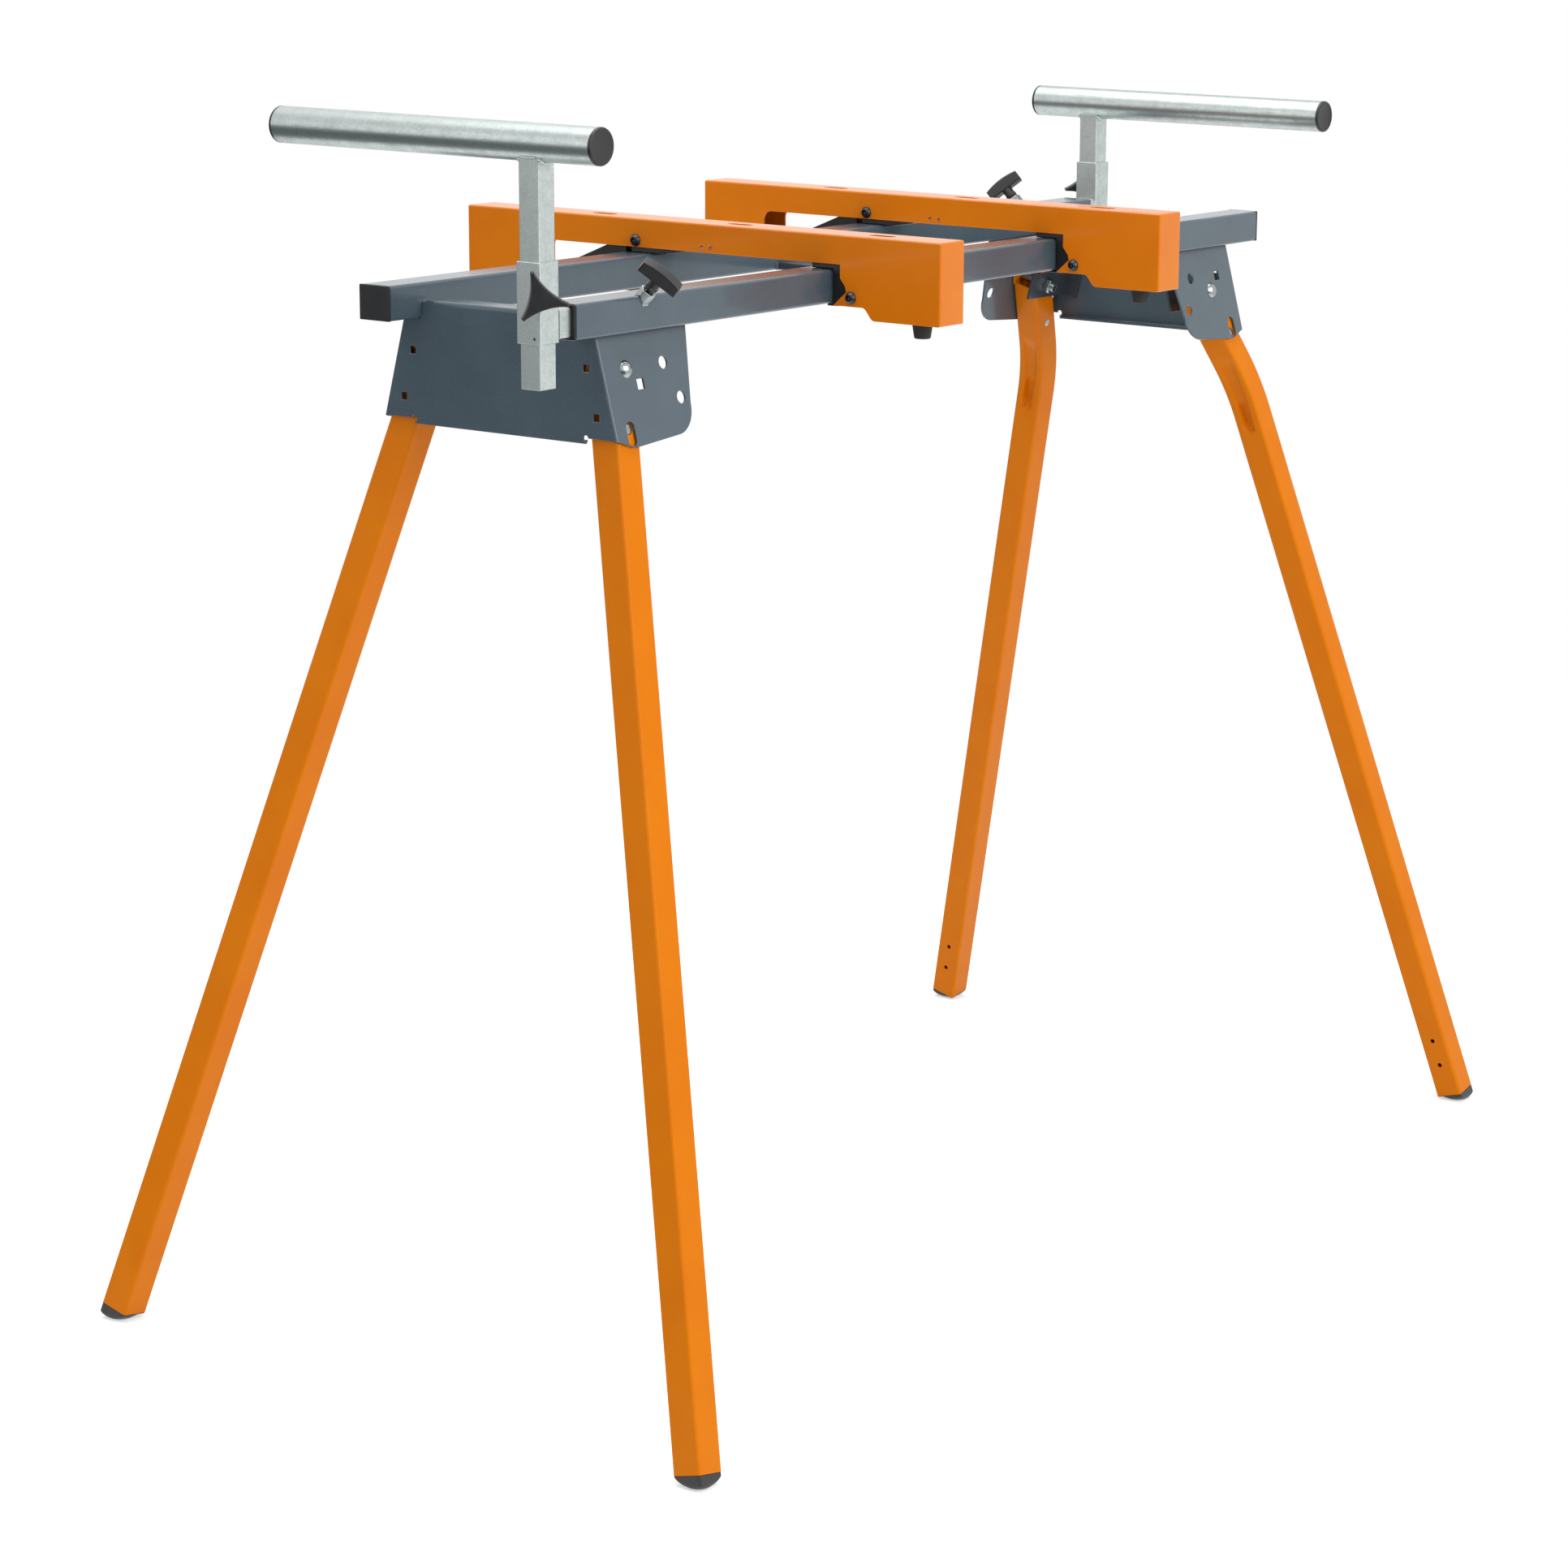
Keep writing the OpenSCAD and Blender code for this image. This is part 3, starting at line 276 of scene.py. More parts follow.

# ---------------------------------------------------------------- middle brace
# A flat rectangular tube welded between the rails at the middle, coated in a darker grey that is painted
# shade for where it sits between the rails.

# the same satin powder in a darker grey: painted shade, on the brace and the brackets that sit in shade
# between the rails and inside the housings
dark_coat_for_shade = powder_coat("shade_painted_grey_powder_coat", srgb("3C4248"), srgb("363C42"), 0.26, 0.36, 0.35, 0.2)

BRACE_X, BRACE_W, BRACE_H, BRACE_WALL, BRACE_CORNER, BRACE_LIFT = 8.8, 25, 7.5, 1.5, 2, 0.2
brace_z = RAIL_LOW + BRACE_LIFT + BRACE_H / 2
inner_y = RAIL_Y - RAIL_W / 2
brace = square_tube(
    straight((BRACE_X, -inner_y, brace_z), (BRACE_X, inner_y, brace_z)),
    ALONG, BRACE_W, BRACE_H, BRACE_WALL, BRACE_CORNER,
)
settle("brace_tube", brace, dark_coat_for_shade, "frame", "dark_plate", "centre_brace")

# ---------------------------------------------------------------- rail caps and liners
# Injection-moulded black plastic: a cap in each closed rail end, and a liner in each open
# mouth that the arm slides through.


def moulded(name, body, shade, low, high, grain, relief):
    """Injection-moulded plastic: a dark even colour, and the fine pebble of a spark-eroded
    mould, drawn a little coarser than it is so that it shows."""
    made, tree, place, shader = new_finish(name)
    cloud = add(tree, "ShaderNodeTexNoise", {"Vector": place, "Scale": 1 / (14 * MM), "Detail": 4.0})
    pebble = add(tree, "ShaderNodeTexVoronoi", {"Vector": place, "Scale": 1 / (grain * MM)})
    gloss = add(
        tree, "ShaderNodeMapRange",
        {"Value": cloud.outputs["Fac"], "From Min": 0.3, "From Max": 0.7, "To Min": low, "To Max": high},
    )
    coat(
        tree, shader, cloud.outputs["Fac"], (body, shade), gloss, pebble.outputs["Distance"], relief, 0.08
    )
    return made


# glass-filled nylon: a charcoal black with a soft sheen
black_nylon = moulded("moulded_black_nylon", srgb("1B1B1D"), srgb("151517"), 0.34, 0.46, 0.7, 0.35)


def softened(node, edge, wide=None, wide_edge=0, steps=2, least=30):
    """A copy of a CAD node in mm, its loose triangles merged into whole faces and its edges
    rounded: those that wide picks to wide_edge, and the others to edge."""
    bm = bmesh.new()
    bm.from_mesh(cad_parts[node].data)
    for v in bm.verts:
        v.co /= MM
    bmesh.ops.remove_doubles(bm, verts=bm.verts, dist=0.002)
    bmesh.ops.dissolve_limit(
        bm, angle_limit=radians(0.2), verts=bm.verts, edges=bm.edges, delimit=set()
    )
    for width, chosen, cuts in ((wide_edge, wide, 4), (edge, lambda e: True, steps)):
        if not chosen or not width:
            continue
        picked = [
            e
            for e in bm.edges
            if len(e.link_faces) == 2 and e.calc_face_angle(0) > radians(least) and chosen(e)
        ]
        bmesh.ops.bevel(
            bm, geom=picked, offset=width, offset_type="OFFSET", segments=cuts, profile=0.5,
            affect="EDGES", clamp_overlap=False,
        )
    bmesh.ops.remove_doubles(bm, verts=bm.verts, dist=0.001)
    return bm


def settle_softened(name, node, edge, finish, body, slot, **rounding):
    """Shows a CAD node's own shape with its edges rounded."""
    return settle(name, softened(node, edge, **rounding), finish, body, slot, node)


settle_softened("rail_caps", "rail_end_caps", 0.8, black_nylon, "frame", "black_plastic")
settle_softened("mouth_liners", "rail_mouth_liners", 0.5, black_nylon, "frame", "black_plastic")

# ---------------------------------------------------------------- end housings
# Each is pressed from 2 mm sheet: an end panel whose sides are bent round into two tilted
# cheeks, punched for the pivots and the leg locks, then coated like the rails.

PANEL_X, PANEL_RISE, PANEL_DROP = 488, 15, 88
SHEET, LEG_SIZE, LEG_GAP, SPLAY = 2, 28, 1, radians(15)
CHEEK_TOP_Y = RAIL_Y + 4
PIVOT_IN = {"near": 29.5, "far": 44}
PIVOT_DOWN = {"near": 30, "far": 43.5}
TOP_LEAN = {"near": radians(11.4), "far": radians(29)}
FOOT_LEAN = {"near": radians(11.4), "far": radians(10.3)}
LOCK_R = {"near": 48, "far": 50}
FOLD = {"near": radians(91), "far": radians(90 - 18.4)}
CHEEK_LENGTH, CHEEK_SLOPE, CHEEK_CORNER, CHEEK_DROP = 116, 14, 24, 4
NOTCH_Y, NOTCH_RISE, RELIEF_R, TOP_CORNER = RAIL_Y - 6.5, 4.6, 2.5, 8
LOCK_HOLE_R, NECK_HOLE = 5.3, 8.6
TOOLING_HOLE, TOOLING_IN, TOOLING_DOWN = 6, 17, (27, 66)
TOP_FLANGE, FLANGE_IN, FLANGE_GAP, BOTTOM_LIP = 22, 14, 0.2, 9
STEP_IN, STEP_DOWN = 0.5, 2.6
PANEL_GAP, PANEL_EDGE, CHEEK_EDGE, FINE_EDGE = 0.05, 0.7, 0.3, 0.15
# enough to keep two faces out of one plane
HAIR = 0.01
# stands a slab on its edge
ON_EDGE = Matrix.Rotation(pi / 2, 4, "X")


def slab(loops, thickness, edge, place, steps=2):
    """A plate with rounded edges: loops are an outline and its holes, and place moves it
    from z = 0 to z = thickness into position."""
    bm = bmesh.new()
    shaped = []
    for k, loop in enumerate(loops):
        area = sum(a[0] * b[1] - b[0] * a[1] for a, b in zip(loop, loop[1:] + loop[:1]))
        shaped.append([Vector(p) for p in (loop if (area > 0) == (k == 0) else loop[::-1])])

    def drawn_in(loop, by):
        """The loop moved evenly into the plate."""
        moved = []
        for i, p in enumerate(loop):
            before, after = p - loop[i - 1], loop[(i + 1) % len(loop)] - p
            n = Vector((-before.y, before.x)).normalized() + Vector((-after.y, after.x)).normalized()
            moved.append(p + n * (by * 2 / max(n.length_squared, 0.8)))
        return moved

    quarter = [pi / 2 * i / steps for i in range(steps + 1)]
    arc = [(edge * (1 - sin(a)), edge * (1 - cos(a))) for a in quarter]
    levels = arc + [(inward, thickness - z) for inward, z in reversed(arc)]
    low_cap, high_cap = [], []
    for loop in shaped:
        rings = [
            [bm.verts.new(place @ Vector((p.x, p.y, z))) for p in drawn_in(loop, inward)]
            for inward, z in levels
        ]
        skin(bm, rings)
        low_cap += rings[0]
        high_cap += rings[-1]
    for a, b, c in tessellate_polygon([[Vector((*p, 0)) for p in drawn_in(loop, edge)] for loop in shaped]):
        bm.faces.new((low_cap[a], low_cap[b], low_cap[c]))
        bm.faces.new((high_cap[a], high_cap[b], high_cap[c]))
    bmesh.ops.dissolve_limit(
        bm, angle_limit=radians(0.05), verts=bm.verts, edges=bm.edges, delimit=set()
    )
    bmesh.ops.recalc_face_normals(bm, faces=bm.faces)
    return bm


def join(*parts):
    """One mesh of several closed ones."""
    whole = parts[0]
    for part in parts[1:]:
        spare = bpy.data.meshes.new("part")
        part.to_mesh(spare)
        part.free()
        whole.from_mesh(spare)
        bpy.data.meshes.remove(spare)
    return whole


def lathe(profile, origin, axis, steps=48):
    """A turned piece: profile is (radius, distance along the axis), starting and ending at 0."""
    axis = axis.normalized()
    side = axis.orthogonal().normalized()
    other = axis.cross(side)
    bm = bmesh.new()
    rings = []
    for r, z in profile:
        middle = origin + axis * z
        if r < 1e-6:
            rings.append([bm.verts.new(middle)])
            continue
        rings.append(
            [
                bm.verts.new(middle + (side * cos(2 * pi * i / steps) + other * sin(2 * pi * i / steps)) * r)
                for i in range(steps)
            ]
        )
    for low, high in zip(rings, rings[1:]):
        for i in range(steps):
            j = (i + 1) % steps
            corners = [low[i % len(low)], low[j % len(low)], high[j % len(high)], high[i % len(high)]]
            bm.faces.new(dict.fromkeys(corners))
    bmesh.ops.recalc_face_normals(bm, faces=bm.faces)
    return bm


def arc_points(x, y, r, start, stop, steps=8):
    """Points on an arc, with its angles in degrees."""
    turn = [radians(start + (stop - start) * i / steps) for i in range(steps + 1)]
    return [(x + r * cos(a), y + r * sin(a)) for a in turn]


def square_hole(x, y, size):
    """The corners of a square hole round a point."""
    h = size / 2
    return [(x - h, y - h), (x + h, y - h), (x + h, y + h), (x - h, y + h)]


def cheek_place(end, side):
    """The plane of one leg: x out from the middle, y the cheek's normal, z up the cheek."""
    flip = Matrix.Diagonal((ENDS[end], SIDES[side], 1, 1))
    return flip @ Matrix.Translation((0, CHEEK_TOP_Y, RAIL_LOW)) @ Matrix.Rotation(SPLAY, 4, "X")


def lock_spot(end, angle):
    """Where the lock button of a leg stands in the cheek, with the leg at an angle."""
    x, y = PANEL_X - PIVOT_IN[end], -PIVOT_DOWN[end]
    return x + LOCK_R[end] * sin(angle), y - LOCK_R[end] * cos(angle)


FOLD_R = 2
cheek_end = PANEL_X - FOLD_R
inner_x = PANEL_X - CHEEK_LENGTH
cheek_low = -PANEL_DROP / cos(SPLAY) - CHEEK_DROP / 2
cheek = [(cheek_end, 0), (inner_x, 0)]
cheek += arc_points(
    inner_x + CHEEK_SLOPE + CHEEK_CORNER, cheek_low + CHEEK_CORNER + CHEEK_DROP, CHEEK_CORNER,
    180, 270, 10,
)
cheek += [
    (PANEL_X - PIVOT_IN["near"] + CHEEK_DROP, cheek_low),
    (PANEL_X - PIVOT_IN["near"] / 2, cheek_low + CHEEK_DROP / 2),
    (cheek_end, -(PANEL_DROP - NOTCH_RISE) / cos(SPLAY)),
]
(ax, ay), (bx, by) = (lock_spot(end, TOP_LEAN[end]) for end in ENDS)
along = 90 + degrees(atan2(by - ay, bx - ax))
cheek_holes = [
    *(square_hole(PANEL_X - PIVOT_IN[end], -PIVOT_DOWN[end], NECK_HOLE) for end in ENDS),
    *(arc_points(*lock_spot(end, -FOLD[end]), LOCK_HOLE_R, 0, 345, 23) for end in ENDS),
    arc_points(ax, ay, LOCK_HOLE_R, along, along + 180, 12)
    + arc_points(bx, by, LOCK_HOLE_R, along + 180, along + 360, 12),
]

panel_low, panel_top = RAIL_LOW - PANEL_DROP, RAIL_LOW + PANEL_RISE
notch = panel_low + NOTCH_RISE
flange_y = inner_y - FLANGE_IN
panel_y = inner_y - PANEL_GAP
half = [
    (NOTCH_Y, panel_low), (NOTCH_Y, notch - RELIEF_R),
    *arc_points(NOTCH_Y, notch, RELIEF_R, -90, -360, 12),
    (CHEEK_TOP_Y + (PANEL_DROP - NOTCH_RISE) * tan(SPLAY) - FOLD_R / cos(SPLAY), notch),
    (CHEEK_TOP_Y - FOLD_R / cos(SPLAY), RAIL_LOW), (panel_y, RAIL_LOW),
    *arc_points(panel_y - TOP_CORNER, panel_top - TOP_CORNER, TOP_CORNER, 0, 90),
    (flange_y, panel_top), (flange_y - STEP_IN, panel_top - STEP_DOWN),
]
panel = half + [(-y, z) for y, z in reversed(half)]
tooling = [
    square_hole(k * (CHEEK_TOP_Y + down * tan(SPLAY) - TOOLING_IN), RAIL_LOW - down, TOOLING_HOLE)
    for k in (-1, 1)
    for down in TOOLING_DOWN
]


def folded_edge(length, half_width, s, z, up):
    """The strip of sheet folded inwards along an edge of the panel, with the bend itself."""
    inner = 1
    outer = inner + SHEET
    section = arc_points(outer, outer, outer, 180, 270, 6) + [(length, 0), (length, SHEET)]
    section += arc_points(outer, outer, inner, 270, 180, 6)
    axes = Matrix(((-s, 0, 0, s * PANEL_X), (0, 0, 1, -half_width), (0, up, 0, z), (0, 0, 0, 1)))
    return slab([section], 2 * half_width, FINE_EDGE, axes, 1)


fold_length = (PANEL_DROP - NOTCH_RISE) / cos(SPLAY)
for end, s in ENDS.items():
    stand_up = Matrix(((0, 0, s, s * (PANEL_X - SHEET)), (1, 0, 0, 0), (0, 1, 0, 0), (0, 0, 0, 1)))
    pieces = [slab([panel, *tooling], SHEET, PANEL_EDGE, stand_up, 3)]
    pieces += [
        slab([cheek, *cheek_holes], SHEET, CHEEK_EDGE, cheek_place(end, side) @ ON_EDGE) for side in SIDES
    ]
    for side in SIDES:
        bend = lathe(
            [(0, 0), (FOLD_R - BREAK, 0), (FOLD_R, BREAK), (FOLD_R, fold_length), (0, fold_length)],
            Vector(), -UP, 32,
        )
        bend.transform(cheek_place(end, side) @ Matrix.Translation((cheek_end, -FOLD_R, 0)))
        pieces.append(bend)
    pieces.append(folded_edge(TOP_FLANGE, flange_y - FLANGE_GAP, s, panel_top, -1))
    pieces.append(folded_edge(BOTTOM_LIP, NOTCH_Y - RELIEF_R * 2, s, panel_low - HAIR, 1))
    settle(
        f"end_housing_{end}", join(*pieces), blue_grey_coat, "frame", "blue_grey_paint", f"housing_{end}"
    )

# ---------------------------------------------------------------- leg brackets
# Bent plates inside each housing that carry the inner end of the pivot bolts.

# these plates take the darker grey, which is painted shade from the inside of the housing
settle_softened("bracket_plates", "leg_brackets", 0.35, dark_coat_for_shade, "frame", "dark_plate")

# ---------------------------------------------------------------- pivot bolts and nuts
# Zinc-plated M8 carriage bolts, cold headed with a shallow dome and a square neck, with
# plain hexagon nuts inside and the rolled thread showing past them.


def plated(name, light, dark, low, high, grain, marks=(1, 1, 1)):
    """Zinc on steel: a pale metal that is never even, with soft clouds, small crystals and
    drawing marks that run the way the steel was drawn."""
    made, tree, place, shader = new_finish(name, Metallic=1.0)
    cloud = add(tree, "ShaderNodeTexNoise", {"Vector": place, "Scale": 1 / (11 * MM), "Detail": 5.0})
    crystal = add(
        tree, "ShaderNodeTexVoronoi", {"Vector": place, "Scale": 1 / (grain * MM), "Randomness": 1.0}
    )
    stretch = add(tree, "ShaderNodeMapping", {"Vector": place, "Scale": marks})
    drawn = add(
        tree, "ShaderNodeTexNoise",
        {"Vector": stretch.outputs["Vector"], "Scale": 1 / (1.2 * MM), "Detail": 3.0},
    )
    cell = add(tree, "ShaderNodeSeparateColor", {"Color": crystal.outputs["Color"]})
    lines = 0.0
    for pattern, share in (
        (cloud.outputs["Fac"], 0.62), (cell.outputs["Red"], 0.22), (drawn.outputs["Fac"], 0.3)
    ):
        lines = add(
            tree, "ShaderNodeMath", {0: pattern, 1: share, 2: lines}, operation="MULTIPLY_ADD"
        ).outputs[0]
    tone = add(tree, "ShaderNodeMapRange", {"Value": lines, "From Min": 0.26, "From Max": 0.88})
    gloss = add(
        tree, "ShaderNodeMapRange", {"Value": tone.outputs["Result"], "To Min": high, "To Max": low}
    )
    coat(tree, shader, tone.outputs["Result"], (dark, light), gloss, lines, 0.2, 0.04)
    return made


# bright electroplated fasteners: smoother and whiter than the tubes
bright_plate = plated("bright_zinc_plate", srgb("B4B9B9"), srgb("878D8E"), 0.16, 0.28, 0.8)

settle_softened("carriage_bolts", "pivot_bolts", 0.3, bright_plate, "frame", "bright_zinc")
settle_softened("hexagon_nuts", "pivot_nuts", 0.6, bright_plate, "frame", "bright_zinc")


def grow(name, mesh, tree_group, finish, values, body, slot, *nodes, sharp=35):
    """Runs a node tree on a mesh in metres and shows the result as a plain piece."""
    carrier = stand(name + "_path", mesh)
    modifier = carrier.modifiers.new("grow", "NODES")
    modifier.node_group = tree_group
    for item in tree_group.interface.items_tree:
        if item.in_out == "INPUT" and item.name in values:
            modifier[item.identifier] = values[item.name]
        if item.in_out == "INPUT" and item.name == "Finish":
            modifier[item.identifier] = finish
    made = result_of(carrier)
    bpy.data.objects.remove(carrier)
    return present(name, made, finish, body, slot, *nodes, sharp=sharp)


def new_growth(name, *sizes):
    """An empty node tree that takes a path, a finish and named sizes in metres."""
    tree = bpy.data.node_groups.new(name, "GeometryNodeTree")
    tree.interface.new_socket("Geometry", in_out="OUTPUT", socket_type="NodeSocketGeometry")
    tree.interface.new_socket("Path", in_out="INPUT", socket_type="NodeSocketGeometry")
    for size in sizes:
        tree.interface.new_socket(size, in_out="INPUT", socket_type="NodeSocketFloat")
    tree.interface.new_socket("Finish", in_out="INPUT", socket_type="NodeSocketMaterial")
    given = add(tree, "NodeGroupInput")
    return tree, given


def repeat(tree, given, shape, **more):
    """Ends a node tree: a shape stands at the pitch along the path, facing along it, and all
    of them become one mesh with its finish."""
    line = add(tree, "GeometryNodeMeshToCurve", {"Mesh": given.outputs["Path"]})
    spots = add(
        tree, "GeometryNodeResampleCurve",
        {"Curve": line.outputs[0], "Length": given.outputs["Pitch"]}, mode="LENGTH",
    )
    direction = add(tree, "GeometryNodeInputTangent")
    aim = add(tree, "FunctionNodeAlignRotationToVector", {"Vector": direction.outputs[0]}, axis="Z")
    row = add(
        tree, "GeometryNodeInstanceOnPoints",
        {"Points": spots.outputs[0], "Instance": shape.outputs[0], "Rotation": aim.outputs[0], **more},
    )
    real = add(tree, "GeometryNodeRealizeInstances", {"Geometry": row.outputs[0]})
    painted = add(
        tree, "GeometryNodeSetMaterial",
        {"Geometry": real.outputs[0], "Material": given.outputs["Finish"]},
    )
    add(tree, "NodeGroupOutput", {"Geometry": painted.outputs[0]})


def thread_tree():
    """A thread: a ridge with a pointed section, repeated at the pitch along a path."""
    tree, given = new_growth("rolled_thread", "Outer radius", "Depth", "Pitch")
    middle = add(
        tree, "ShaderNodeMath", {0: given.outputs["Outer radius"], 1: given.outputs["Depth"]},
        operation="SUBTRACT",
    )
    ring = add(
        tree, "GeometryNodeCurvePrimitiveCircle", {"Resolution": 24, "Radius": middle.outputs[0]}
    )
    point = add(
        tree, "GeometryNodeCurvePrimitiveCircle", {"Resolution": 4, "Radius": given.outputs["Depth"]}
    )
    ridge = add(
        tree, "GeometryNodeCurveToMesh", {"Curve": ring.outputs[0], "Profile Curve": point.outputs[0]}
    )
    repeat(tree, given, ridge)
    return tree


def paths(lines, place=Matrix()):
    """A mesh of open lines, each a list of points in mm that place moves into position."""
    mesh = bpy.data.meshes.new("path")
    points, edges = [], []
    for line in lines:
        edges += [(len(points) + i, len(points) + i + 1) for i in range(len(line) - 1)]
        points += [place @ Vector(p) * MM for p in line]
    mesh.from_pydata(points, edges, [])
    return mesh


rolled_thread = thread_tree()

LEG_PLANE = -(SHEET + LEG_GAP + LEG_SIZE / 2)


def pivot_place(end, side):
    """The pivot of one leg, with -z running down the leg."""
    spot = Matrix.Translation((PANEL_X - PIVOT_IN[end], 0, -PIVOT_DOWN[end]))
    return cheek_place(end, side) @ spot @ Matrix.Rotation(-TOP_LEAN[end], 4, "Y")


BRACKET_SHEET, PIVOT_NUT_H, BOLT_TAIL, THREAD_SPAN = 2.5, 6.5, 3, (0.4, 3.2)
tail_end = LEG_PLANE - LEG_SIZE / 2 - LEG_GAP - BRACKET_SHEET - PIVOT_NUT_H - BOLT_TAIL
thread_lines = [
    [pivot_place(end, side) @ Vector((0, tail_end + d, 0)) for d in THREAD_SPAN]
    for end in ENDS
    for side in SIDES
]
grow(
    "pivot_threads", paths(thread_lines), rolled_thread, bright_plate,
    {"Outer radius": 4.2 * MM, "Depth": 0.45 * MM, "Pitch": 1.25 * MM}, "frame", "bright_zinc",
)

# ---------------------------------------------------------------- weld beads
# Short MIG welds join the housings and the brace to the rails. Each bead is a row of
# overlapping ripples left by the arc, and the coat runs over it.


def bead_tree():
    """A weld bead: drops of uneven size that overlap along a path."""
    tree, given = new_growth("weld_bead", "Drop radius", "Pitch")
    drop = add(
        tree, "GeometryNodeMeshIcoSphere", {"Radius": given.outputs["Drop radius"], "Subdivisions": 2}
    )
    swell = add(
        tree, "FunctionNodeRandomValue", {2: 0.85, 3: 1.1, "Seed": 7}, data_type="FLOAT"
    )
    repeat(tree, given, drop, Scale=swell.outputs[1])
    return tree


weld_bead = bead_tree()
WELD = {"Drop radius": 1.5 * MM, "Pitch": 0.9 * MM}
# how far a bead's middle stands out of the corner that it fills
BEAD_OUT = 0.4
CHEEK_WELDS, CHEEK_WELD_LENGTH, CHEEK_WELD_IN = (380, 420, 458), 22, 0.6
PANEL_WELDS, PANEL_WELD_LENGTH = (1, 8), 5
BRACE_WELD_OUT, BRACE_WELD_IN, BRACE_WELD_SPAN = 0.1, 0.5, (-2.5, 2)

stitches = []
cheek_weld_y = CHEEK_TOP_Y - SHEET / cos(SPLAY) - CHEEK_WELD_IN
for sx in ENDS.values():
    for sy in SIDES.values():
        for start in CHEEK_WELDS:
            stitches.append(
                [(sx * x, sy * cheek_weld_y, RAIL_LOW - BEAD_OUT) for x in (start, start + CHEEK_WELD_LENGTH)]
            )
        for start in PANEL_WELDS:
            x, y = sx * (PANEL_X - SHEET - BEAD_OUT), sy * (inner_y - BEAD_OUT)
            stitches.append([(x, y, RAIL_LOW + z) for z in (start, start + PANEL_WELD_LENGTH)])
for sy in SIDES.values():
    for sx in (-1, 1):
        x, y = BRACE_X + sx * (BRACE_W / 2 + BRACE_WELD_OUT), sy * (inner_y - BRACE_WELD_IN)
        stitches.append([(x, y, brace_z + z) for z in BRACE_WELD_SPAN])
grow("housing_welds", paths(stitches), weld_bead, blue_grey_coat, WELD, "frame", "blue_grey_paint")

# ---------------------------------------------------------------- legs
# Square tubes coated bright orange. The near pair is straight. The far pair is bent below
# the pivot, with a dent pressed into the inner side of the bend so that the wall can't buckle.

# the same process in a saturated orange, baked flat: deep colour with hardly any white sheen
leg_coat = powder_coat("flat_orange_powder_coat", srgb("E07B00"), srgb("DC7500"), 0.3, 0.4, 0.08, 0.05)
# the same orange baked a little glossier: the tool bars pale slightly where they catch light
orange_coat = powder_coat("orange_powder_coat", srgb("E07B00"), srgb("DC7500"), 0.2, 0.28, 0.25, 0.25)

LEG_WALL, LEG_CORNER, FOOT_THIN = 1.5, 2.6, 2
DENT_TOP, DENT_SPLITS = 66, 22
FAR_TOP_LENGTH, BEND_RADIUS, BEND_STEPS = 110, 190, 36
# how close the far legs' stations stand beside the bend, and how many of them lie below it
STATION, STATIONS_BELOW = 1.8, 13
BUTTON_HOLE, PIN_HOLE, DRAIN_HOLE, DRAIN_UP = 10.16, 5.6, 4.8, (34, 61)
# the round top of a side wall: how far it laps over the tube, and its rounded edge
WALL_LAP, WALL_EDGE = 2, 0.25


def shank_length(end):
    """Length from the pivot of a near leg, or the bend of a far leg, to its cut end."""
    z = -PIVOT_DOWN[end] - (0 if end == "near" else FAR_TOP_LENGTH * cos(TOP_LEAN[end]))
    height = RAIL_LOW + z * cos(SPLAY) + LEG_PLANE * sin(SPLAY)
    drop = LEG_SIZE / 2 * (sin(FOOT_LEAN[end]) * cos(SPLAY) + sin(SPLAY))
    return (height - drop - FOOT_THIN) / (cos(FOOT_LEAN[end]) * cos(SPLAY))


def leg_stations(end):
    """The leg's middle line in its pivot's frame."""
    down = Vector((0, 0, -1))
    shank = shank_length(end)
    if end == "near":
        return [(Vector((0, LEG_PLANE, 0)), down, 0.0), (Vector((0, LEG_PLANE, -shank)), down, shank)]
    turn = TOP_LEAN[end] - FOOT_LEAN[end]
    cut = BEND_RADIUS * tan(turn / 2)
    first = FAR_TOP_LENGTH - cut
    upper = [0, *(DENT_TOP + STATION * i for i in range(int((first - DENT_TOP) / STATION))), first]
    stations = [(Vector((0, LEG_PLANE, -run)), down, run) for run in upper]
    for i in range(1, BEND_STEPS + 1):
        a = turn * i / BEND_STEPS
        point = Vector((-BEND_RADIUS + BEND_RADIUS * cos(a), LEG_PLANE, -first - BEND_RADIUS * sin(a)))
        stations.append((point, Vector((-sin(a), 0, -cos(a))), first + BEND_RADIUS * a))
    out = Vector((-sin(turn), 0, -cos(turn)))
    corner = Vector((0, LEG_PLANE, -FAR_TOP_LENGTH))
    run = first + BEND_RADIUS * turn
    for length in [cut + STATION * i for i in range(1, STATIONS_BELOW + 1)] + [shank]:
        stations.append((corner + out * length, out, run + length - cut))
    return stations


def smooth(x):
    """Eases from 0 to 1."""
    x = min(max(x, 0), 1)
    return x * x * (3 - 2 * x)


# The dent: a broad scoop over the bend that narrows as it runs down into a deeper pocket,
# whose floor has a small bump where the punch ended
SCOOP_STOP, SCOOP_HALF, SCOOP_DEEP = 152, (9.6, 6.2), 2.6
POCKET_START, POCKET_STOP, POCKET_HALF, POCKET_DEEP = 116, 157, 6.4, 3.6
BUMP_AT, BUMP_R, BUMP_RISE = 150, 3.2, 1.4
# how steeply the scoop starts and stops, and the width of its sides; and the lengths over which
# the pocket starts and stops, and the width of its sides
SCOOP_SLOPES, POCKET_SLOPES = (5, 9, 3.4), (16, 4.5, 2.8)


